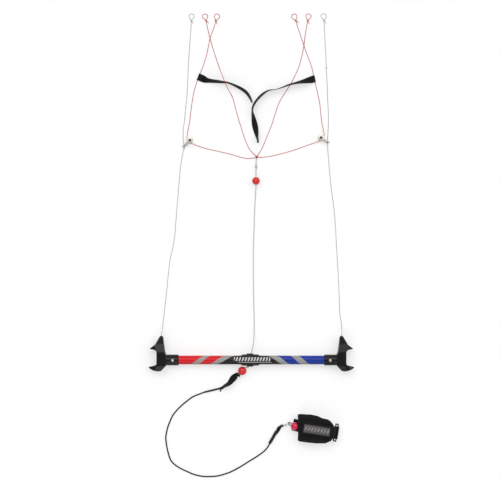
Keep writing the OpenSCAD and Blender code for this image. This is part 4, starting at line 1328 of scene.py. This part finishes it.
@dataclass(frozen=True)
class SafetyLine:
    """The line from the brakes' junction through the bar to the leash, with its two stopper balls."""

    thickness: float = 3 * MM
    upper_ball: tuple[float, float, float] = (13 * MM, 505 * MM, 11 * MM)
    upper_r: float = 11 * MM
    lower_ball: tuple[float, float, float] = (-26 * MM, -31 * MM, 12.25 * MM)
    lower_r: float = 12.25 * MM
    hole_r: float = 2.3 * MM
    at_ball: int = 7
    at_bush: int = 23

    def build(self) -> None:
        """Builds the line in three lengths, which part where the ball and the bush hide it."""
        end = Vector(self.lower_ball) + Vector((-1, -1, 0)).normalized() * (self.lower_r + 3.8 * MM)
        stop = piece("safety_end_stop", Shell().knot(end, 2.5 * MM, 1.4 * MM, 45, 70), Body.LINES,
                     SAFETY_LINE_BRAID, ["safety_line_end_knot"])
        coil = piece("safety_barrel_knot", self.barrel_knot(), Body.LINES, SAFETY_LINE_BRAID, ["stop_knot"])
        top, middle, tail = (SAFETY_LINE[: self.at_ball + 1], SAFETY_LINE[self.at_ball : self.at_bush + 1],
                             SAFETY_LINE[self.at_bush :])
        Cord("safety_line_top", tuple(reversed(top)), self.thickness, SAFETY_LINE_BRAID, ("safety_line",)).build([coil])
        run = Cord("safety_line_run", tuple(reversed(middle)), self.thickness, SAFETY_LINE_BRAID, ("safety_line",)).build()
        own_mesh(run)
        rest = Cord("safety_line_tail", tail, self.thickness, SAFETY_LINE_BRAID, ("safety_line",), steps=10).build([stop])
        self.stretch(rest)
        for name, body, at, radius, axis in (
            ("upper_ball", Body.UPPER_STOPPER, self.upper_ball, self.upper_r, Vector((0, 1, 0))),
            ("lower_ball", Body.LOWER_STOPPER, self.lower_ball, self.lower_r, Vector((-1, -1, 0)).normalized()),
        ):
            piece(f"glossy_{name}", self.ball(Vector(at), radius, axis), body, RED_BALL, [name])

    def stretch(self, rest: bpy.types.Object) -> None:
        """Takes the line between the lower ball and the bush off its body and bakes its place into its mesh."""
        rest.parent = None
        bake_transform(rest)

    def ball(self, centre: Vector, radius: float, axis: Vector) -> Shell:
        """Makes a ball with a countersunk hole along axis and a faint seam round its waist.

        Args:
            centre: Its middle.
            radius: Its radius.
            axis: The hole's direction.

        Returns:
            Its shell.
        """
        lip = 0.8 * MM
        start = math.asin((self.hole_r + lip) / radius)
        skin = []
        for k in range(41):
            angle = start + (math.pi - 2 * start) * k / 40
            seam = 0.12 * MM if abs(angle - math.pi / 2) < 0.05 else 0
            skin.append((-radius * math.cos(angle), (radius + seam) * math.sin(angle)))
        mouth = radius * math.cos(start)
        profile = [(-mouth + 0.35 * lip, self.hole_r + 0.25 * lip), *skin, (mouth - 0.35 * lip, self.hole_r + 0.25 * lip),
                   (mouth - lip, self.hole_r), (lip - mouth, self.hole_r)]
        return Shell().turned(profile, centre, axis, 64, closed=True)

    def barrel_knot(self) -> Shell:
        """Makes the stop above the upper ball: three tight turns of the line round itself."""
        start, end = Vector((13.2, 552, 3.6)) * MM, Vector((13, 541, 3.6)) * MM
        axis = (end - start).normalized()
        side = axis.cross(UP)
        path = []
        for k in range(57):
            angle = FULL_TURN * k / 16
            share = k / 56
            path.append(start.lerp(end, 0.12 + 0.76 * share) + 2.1 * MM * (math.cos(angle) * side + math.sin(angle) * UP))
        return Shell().tube(path, 1.45 * MM, 8, level=False, dome=True)


@dataclass(frozen=True)
class Leash:
    """The webbing loop, cord and sleeves that run from the lower ball to the swivel."""

    width: float = 20 * MM
    thickness: float = 2.8 * MM
    cord_d: float = 4 * MM

    def build(self) -> None:
        """Builds the leash up to the swivel."""
        path, tilts = lying_strip(LEASH_LOOP, self.width, self.thickness, 10)
        section = strip_section(self.width, self.thickness, layers=2)
        shell = Shell().strip(path, tilts, section, fold=1.4 * MM, cup=1.2 * MM)
        loop = piece("doubled_webbing", shell, Body.LINES, BLACK_WEBBING, ["leash_webbing_loop"])
        self.hitch()
        self.knot()
        front = self.sleeve("front_sleeve", ((-87, -81, 3.2), (-132, -91.8, 2.6)), 2.9, 2.5, "leash_sleeve_front")
        rear = self.sleeve("rear_sleeve", ((52.5, -234.5, 4.7), (58.5, -224.5, 4.8), (65, -213, 4.9), (69.6, -204.5, 4.9)),
                           4.4, 4.5, "leash_sleeve_rear")
        Cord("leash_line", LEASH_CORD, self.cord_d, BLACK_CORD, ("leash_cord",), steps=7, sides=12,
             stiffness="medium", wander=0.6 * MM).build([front, rear, self.bight()])
        self.swivel()

    def hitch(self) -> None:
        """Makes the turn of webbing that holds the safety line's end knot, close to the lower ball."""
        away = Vector((-1, -1, 0)).normalized()
        centre = Vector((-26, -31, 12.25)) * MM + away * 15.9 * MM
        profile = [(-3.1, 4.1), (-3.2, 5.9), (-2.7, 6.4), (0, 6.7), (2.7, 6.3), (3.2, 5.7), (3.1, 4.1)]
        turn = Shell().turned([(a * MM, r * MM) for a, r in profile], centre, away, 40, closed=True)
        piece("webbing_hitch", turn, Body.LINES, BLACK_WEBBING)

    def knot(self) -> None:
        """Makes the knot where the webbing meets the cord, with its stiff tail."""
        shell = Shell().knot(Vector((-84, -80, 5.2)) * MM, 3.4 * MM, 1.8 * MM, 40, 15)
        tail = smoothed(((-84, -81, 5), (-86.5, -85, 3.6), (-88, -89.5, 2.2)), 4)
        shell.tube([p * MM for p in tail], 1.8 * MM, 8, level=False, dome=True)
        piece("leash_lark_knot", shell, Body.LINES, BLACK_CORD, ["leash_knot"])

    def sleeve(self, name: str, route: tuple, r0: float, r1: float, node: str) -> bpy.types.Object:
        """Makes a sleeve shrunk over doubled cord, which shows through as waves.

        Args:
            name: The piece's name.
            route: Where it runs, in millimetres.
            r0: Its radius at the start, in millimetres.
            r1: Its radius at the end, in millimetres.
            node: The model's part that it stands for.

        Returns:
            The sleeve.
        """
        path = [p * MM for p in smoothed(route, 36 // (len(route) - 1))]
        count = len(path) - 1
        radii = [MM * (r0 + (r1 - r0) * k / count + 0.18 * math.sin(1.1 * k) + 0.12 * math.sin(2.7 * k)) for k in range(count + 1)]
        return piece(name, Shell().tube(path, radii, 20, dome=True), Body.LINES, SHRINK, [node])

    def bight(self) -> bpy.types.Object:
        """Makes the doubled cord that swells out of the rear sleeve and turns back in the swivel's eye."""
        upper = ((66, -211, 5.6), (70.4, -203.5, 5.8), (73, -197.5, 5.8), (76.6, -192, 5.8), (81.2, -188.8, 7.2),
                 (85.6, -186.8, 8.1), (88.6, -185.6, 5.3))
        lower = ((85.6, -188.2, 2.4), (82.4, -191.6, 3.0), (79.6, -196, 3.6), (76.6, -201, 3.8), (72.4, -207.5, 4.0), (67, -213, 4.2))
        path = [p * MM for p in smoothed(upper + lower, 6)]
        swell = [math.sin(math.pi * min(1.0, 2 * abs(k / (len(path) - 1) - 0.52))) for k in range(len(path))]
        radii = [(1.5 + 1.5 * max(0.0, share)) * MM for share in swell]
        return piece("leash_bight", Shell().tube(path, radii, 12, level=False), Body.LINES, BLACK_CORD, ["leash_sleeve_rear"])

    def swivel(self) -> None:
        """Makes the steel swivel's three parts from the model's own shapes."""
        for name, node, body in (("swivel_eye_wire", "swivel_eye", Body.LINES), ("swivel_ring_wire", "swivel_ring", Body.LINES),
                                 ("swivel_body", "swivel_barrel", Body.SWIVEL)):
            piece(name, Shell().copy_of(node).eased(0.15 * MM), body, STAINLESS, [node])


@dataclass(frozen=True)
class Cuff:
    """The padded wrist cuff with its release, its ring and its closure strap."""

    left: float = 130 * MM
    right: float = 234 * MM
    height: float = 30 * MM
    wall: float = 5 * MM
    closure_at: tuple[float, float] = (241 * MM, -205 * MM)
    closure_turn: float = -9.0
    strap_w: float = 36 * MM
    strap_t: float = 2 * MM
    strap_reach: float = 99 * MM
    patch_w: float = 23 * MM
    patch_len: float = 74 * MM
    bend_x: float = -19.7 * MM
    bend_r: float = 16.5 * MM

    def build(self) -> None:
        """Builds the cuff and everything on it."""
        self.release()
        self.tab()
        self.band()
        ring = Shell().copy_of("closure_ring").eased(0.2 * MM)
        piece("moulded_ring", ring, Body.CUFF, GLOSSY_NYLON, ["closure_ring"])
        self.closure()

    def release(self) -> None:
        """Builds the cord loop, the pin through it and the ball that pulls the pin."""
        start, end = Vector((106.8, -180.5, 5.3)) * MM, Vector((121, -187, 5.3)) * MM
        along = (end - start).normalized()
        aside = UP.cross(along)
        bend = 3.2 * MM
        path = [start - along * bend * math.sin(a) + aside * bend * math.cos(a) for a in (0, 0.6, 1.2, 1.9, 2.5)]
        path += [start.lerp(end, k / 5) - aside * bend for k in range(6)]
        path += [end + along * bend * math.sin(a) - aside * bend * math.cos(a) for a in (0.6, 1.2, 1.9, 2.5)]
        path += [end.lerp(start, k / 5) + aside * bend for k in range(5)]
        loop = Shell().tube(path, 1.2 * MM, 10, closed=True)
        piece("release_bight", loop, Body.CUFF, BLACK_CORD, ["release_loop"])
        half, radius = 2 * MM, 10 * MM
        centre = Vector((121, -187, 17)) * MM
        profile = [(-half - radius * math.cos(a), radius * math.sin(a)) for a in (k * math.pi / 24 for k in range(13))]
        profile += [(half + radius * math.cos(a), radius * math.sin(a)) for a in (k * math.pi / 24 for k in range(12, -1, -1))]
        piece("release_grip", Shell().turned(profile, centre, Vector((0, 1, 0)), 56), Body.RELEASE, CRIMSON_BALL, ["release_ball"])
        pin = Shell().copy_of("release_pin").eased(0.4 * MM, 3)
        piece("pull_pin", pin, Body.RELEASE, STAINLESS, ["release_pin"])

    def tab(self) -> None:
        """Builds the webbing tab under the release, sewn round in a box, and the eyelet round the pin."""
        turn = Matrix.Rotation(math.radians(-12), 3, "Z")
        centre = Vector((127, -186, 0)) * MM
        xs = [-10.5, -10.2, -9, -4, 0, 4, 9, 10.2, 10.5]
        path = [centre + turn @ Vector((x * MM, 0, 1.75 * MM)) for x in xs]
        tab = Shell().strip(path, [0.0] * len(path), strip_section(34 * MM, 3.5 * MM, layers=2), fold=1.5 * MM)
        made = piece("tab_webbing", tab, Body.CUFF, BLACK_WEBBING, ["cuff_tab"])
        top = 3.5 * MM
        corners = [centre + turn @ Vector((x * MM, y * MM, top)) for x, y in ((-8.5, -14.5), (8.5, -14.5), (8.5, 14.5), (-8.5, 14.5))]
        sewn = Shell()
        for a, b in ((0, 1), (1, 2), (2, 3), (3, 0)):
            sewn.stitches([corners[a], corners[b]])
        piece("tab_stitching", sewn, Body.CUFF, THREAD)
        eyelet = [(3.45 * MM, 1.9 * MM), (4.2 * MM, 2.4 * MM), (4.3 * MM, 3.2 * MM), (4.1 * MM, 4.2 * MM), (3.45 * MM, 4.6 * MM)]
        piece("tab_eyelet", Shell().turned(eyelet, Vector((121 * MM, -187 * MM, 0)), UP, 40, closed=True), Body.CUFF, BLACKENED)

    def band_line(self, count: int) -> list[tuple[Vector, Vector]]:
        """Runs round the flattened band, at the middle of its wall.

        Args:
            count: How many stations there are on each of its two bends and two faces.

        Returns:
            Each station's place, as (x, z), and its outward direction.
        """
        r = self.height / 2
        stations = []
        for k in range(count):
            a = -math.pi / 2 + math.pi * k / count
            out = Vector((math.cos(a), math.sin(a)))
            stations.append((Vector((self.right - r, r)) + out * (r - self.wall / 2), out))
        for k in range(count):
            x = self.right - r - (self.right - self.left - 2 * r) * k / count
            stations.append((Vector((x, self.height - self.wall / 2)), Vector((0, 1))))
        for k in range(count):
            a = math.pi / 2 + math.pi * k / count
            out = Vector((math.cos(a), math.sin(a)))
            stations.append((Vector((self.left + r, r)) + out * (r - self.wall / 2), out))
        for k in range(count):
            x = self.left + r + (self.right - self.left - 2 * r) * k / count
            stations.append((Vector((x, self.wall / 2)), Vector((0, -1))))
        return stations

    def edges_at(self, x: float) -> tuple[float, float]:
        """Finds how far the band reaches along Y at a place along X.

        Args:
            x: The place.

        Returns:
            The lower and upper edge.
        """
        upper = [p for p in CUFF_OUTLINE if p[1] > -0.2]
        lower = [p for p in CUFF_OUTLINE if p[1] <= -0.2]
        found = []
        for edge in (sorted(lower), sorted(upper)):
            x_in = min(max(x, edge[0][0]), edge[-1][0])
            for (xa, ya), (xb, yb) in zip(edge, edge[1:]):
                if xa <= x_in <= xb:
                    found.append(ya + (yb - ya) * (x_in - xa) / max(xb - xa, 1e-9))
                    break
        return found[0], found[1]

    def band(self) -> None:
        """Builds the neoprene band, its bound edges and their stitching."""
        section, steps = [], 22
        half = self.wall / 2
        for k in range(steps + 1):
            section.append((k / steps, 1.0))
        section += [(1.0, 0.5), (1.0, -0.5)]
        section += [(1 - k / steps, -1.0) for k in range(steps + 1)]
        section += [(0.0, -0.5), (0.0, 0.5)]
        rings, rims = [], {0: [], 1: []}
        for spot, out in self.band_line(26):
            low, high = self.edges_at(spot.x)
            ring = []
            for share, face in section:
                y = low + (high - low) * share
                near = min(y - low, high - y)
                thin = 1 - 0.45 * math.exp(-near / (1.6 * MM))
                lift = half * face * thin + self.dent(spot, out, y, near)
                ring.append(Vector((spot.x + out.x * lift, y, spot.y + out.y * lift)))
            rings.append(ring)
            for end, y in ((0, low), (1, high)):
                rims[end].append((Vector((spot.x, y, spot.y)), Vector((out.x, 0, out.y))))
        band = piece("neoprene_band", Shell().loft(rings, along=True), Body.CUFF, NEOPRENE, ["cuff_body"])
        self.binding(rims)

    def dent(self, spot: Vector, out: Vector, y: float, near: float) -> float:
        """How far the band is pressed in at a place; it never bulges past its own box.

        Args:
            spot: The place as (x, z).
            out: The outward direction there.
            y: The place along Y.
            near: The distance to the nearer edge.

        Returns:
            A distance, at most zero.
        """
        place = Vector((spot.x, y, spot.y))
        waves = noise.noise(place * 30) + 0.5 * noise.noise(place * 75)
        pressed = noise.noise(Vector((spot.x * 14, y * 70, spot.y * 40)))
        squeeze = 0.0
        if out.y > 0.5:
            across = (y + 0.195) / (24 * MM)
            squeeze = 0.8 * MM * math.exp(-across * across)
        folds = max(0.0, math.sin(y * 330 + 2.5 * noise.noise(place * 25))) ** 2
        crease = 1.1 * MM * folds * math.exp(-((spot.x - 0.216) / 0.026) ** 2)
        rumple = 0.55 * MM * (1 + waves) + 0.5 * MM * (1 + pressed)
        return -(rumple + squeeze + crease) * min(1.0, near / (5 * MM))

    def binding(self, rims: dict[int, list[tuple[Vector, Vector]]]) -> None:
        """Builds the tape that wraps the band's two edges, and its stitching.

        Args:
            rims: Each edge's points with their outward directions; 0 is the edge towards the flyer.
        """
        tape, sewn = Shell(), Shell()
        depth, skin = 6.5 * MM, 0.35 * MM
        for end, rim in rims.items():
            inward = 1 if end == 0 else -1
            rings = []
            for point, out in rim:
                section = []
                for along, face in ((depth, 1.0), (2.5 * MM, 0.92), (0.6 * MM, 0.8), (-0.45 * MM, 0.35),
                                    (-0.45 * MM, -0.35), (0.6 * MM, -0.8), (2.5 * MM, -0.92), (depth, -1.0),
                                    (depth, -0.86), (1.5 * MM, -0.6), (1.5 * MM, 0.6), (depth, 0.86)):
                    lift = face * (self.wall / 2 - 0.25 * MM)
                    section.append(point + Vector((0, inward * along, 0)) + out * lift)
                rings.append(section)
            tape.loft(rings, along=True)
            seam = [p + Vector((0, inward * 4.8 * MM, 0)) + out * (self.wall / 2 - 0.2 * MM) for p, out in rim]
            sewn.stitches(seam[24:60], 3.4 * MM, 2.5 * MM, skin)
        piece("binding_tape", tape, Body.CUFF, BLACK_WEBBING)
        piece("binding_stitching", sewn, Body.CUFF, THREAD)

    def closure(self) -> None:
        """Builds the strap that runs through the ring, with the satin strip sewn on it."""
        placed = Matrix.Translation(Vector((*self.closure_at, 0))) @ Matrix.Rotation(math.radians(self.closure_turn), 4, "Z")
        flat_z = self.height / 2 + self.bend_r
        run = [(-self.strap_reach + (self.bend_x + self.strap_reach) * k / 24, flat_z) for k in range(24)]
        run += [(self.bend_x + self.bend_r * math.sin(a), self.height / 2 + self.bend_r * math.cos(a))
                for a in (k * 0.13 for k in range(12))]
        run += [(-3.2 * MM * math.cos(a), 17 * MM - 3.2 * MM * math.sin(a)) for a in (0.05 + 0.4 * k for k in range(13))]
        section = strip_section(self.strap_w, self.strap_t)
        line = [Vector((x, 0, z)) for x, z in run]
        rings = []
        for i, point in enumerate(line):
            ahead = (line[min(i + 1, len(line) - 1)] - line[max(i - 1, 0)]).normalized()
            out = ahead.cross(Vector((0, 1, 0)))
            sag = 0.25 * MM * noise.noise(point * 60)
            rings.append([placed @ (point + Vector((0, a, 0)) - out * (b + sag)) for a, b in section])
        strap = piece("hook_strap", Shell().loft(rings), Body.CLOSURE, BLACK_WEBBING, ["closure_strap"])
        patch, sewn = Shell(), Shell()
        top = flat_z + self.strap_t / 2
        start = 4 * MM - self.strap_reach
        path = [placed @ Vector((start + self.patch_len * k / 20, 0, top + 0.3 * MM)) for k in range(21)]
        patch.strip(path, [0.0] * len(path), strip_section(self.patch_w, 0.6 * MM), fold=0.5 * MM)
        satin = piece("satin_strip", patch, Body.CLOSURE, SATIN, ["closure_patch"])
        hem = 1.3 * MM
        side, ends = self.patch_w / 2 - hem, (start + hem, start + self.patch_len - hem)
        corners = [placed @ Vector((ends[x], y * side, top + 0.6 * MM)) for x, y in ((0, -1), (1, -1), (1, 1), (0, 1))]
        for a, b in ((0, 1), (1, 2), (2, 3), (3, 0)):
            sewn.stitches([corners[a], corners[b]])
        thread = piece("strip_stitching", sewn, Body.CLOSURE, THREAD)


@dataclass(frozen=True)
class Studio:
    """The light table, the soft lights and the camera straight above. Each lamp is (name, azimuth, elevation, power)."""

    middle: tuple[float, float] = (-0.004, 0.310)
    view: float = 1.415
    lens: float = 100.0
    sensor: float = 36.0
    sky: float = 0.25
    sheet: float = 60.0
    lamps: tuple[tuple[str, float, float, float], ...] = (
        ("key", 125, 52, 1.15), ("fill", 10, 45, 0.8), ("low", -110, 42, 0.6), ("back", 65, 48, 0.75),
    )

    def build(self) -> None:
        """Sets out the studio."""
        self.card()
        self.lights()
        self.camera()

    def card(self) -> None:
        """Lays the light table's sheet on the ground."""
        bm = bmesh.new()
        bmesh.ops.create_grid(bm, x_segments=8, y_segments=8, size=self.sheet)
        mesh = bpy.data.meshes.new("card")
        bm.to_mesh(mesh)
        bm.free()
        mesh.materials.append(Backdrop("studio", "#aaaaaa", 1.0, label="sheet", shine=0.0).material())
        card = bpy.data.objects.new("card", mesh)
        bpy.context.scene.collection.objects.link(card)

    def lights(self) -> None:
        """Sets four soft lights round the object under a pale sky, which is dim except to the camera."""
        world = bpy.data.worlds.new("pale_sky")
        bpy.context.scene.world = world
        world.use_nodes = True
        world.node_tree.nodes.clear()
        seen = add_node(world.node_tree, "ShaderNodeLightPath").outputs["Is Camera Ray"]
        strength = Wiring(world.node_tree).math("MULTIPLY_ADD", seen, 1 - self.sky, self.sky)
        sky = add_node(world.node_tree, "ShaderNodeBackground", {"Color": (1, 1, 1, 1), "Strength": strength})
        add_node(world.node_tree, "ShaderNodeOutputWorld", {"Surface": sky.outputs[0]})
        for name, azimuth, elevation, power in self.lamps:
            lamp = bpy.data.lights.new(name, "SUN")
            lamp.energy, lamp.angle = power, math.radians(38)
            obj = bpy.data.objects.new(name, lamp)
            flat, height = math.cos(math.radians(elevation)), math.sin(math.radians(elevation))
            place = Vector((math.cos(math.radians(azimuth)) * flat, math.sin(math.radians(azimuth)) * flat, height))
            obj.location = place * 4
            obj.rotation_euler = (-place).to_track_quat("-Z", "Y").to_euler()
            bpy.context.scene.collection.objects.link(obj)

    def camera(self) -> None:
        """Sets the camera straight above, far enough that the view is nearly flat."""
        data = bpy.data.cameras.new("overhead")
        data.lens, data.sensor_width, data.clip_end = self.lens, self.sensor, 50
        obj = bpy.data.objects.new("overhead", data)
        obj.location = (*self.middle, self.view * self.lens / self.sensor)
        bpy.context.scene.collection.objects.link(obj)
        bpy.context.scene.camera = obj
        bpy.context.scene.view_settings.view_transform = "Standard"


def main() -> None:
    """Builds every sub-assembly and lights it."""
    logging.basicConfig(level=logging.INFO, format="%(name)s: %(message)s")
    Bar().build()
    for side in Side:
        Winder(side).build()
    LineSet().build()
    Pulley(Side.LEFT, (-174 * MM, 620 * MM), -133, 24 * MM).build()
    Pulley(Side.RIGHT, (197 * MM, 627 * MM), -35, 22.5 * MM).build()
    LandingStrap().build()
    SafetyLine().build()
    Leash().build()
    Cuff().build()
    Studio().build()


if __name__ == "__main__":
    main()
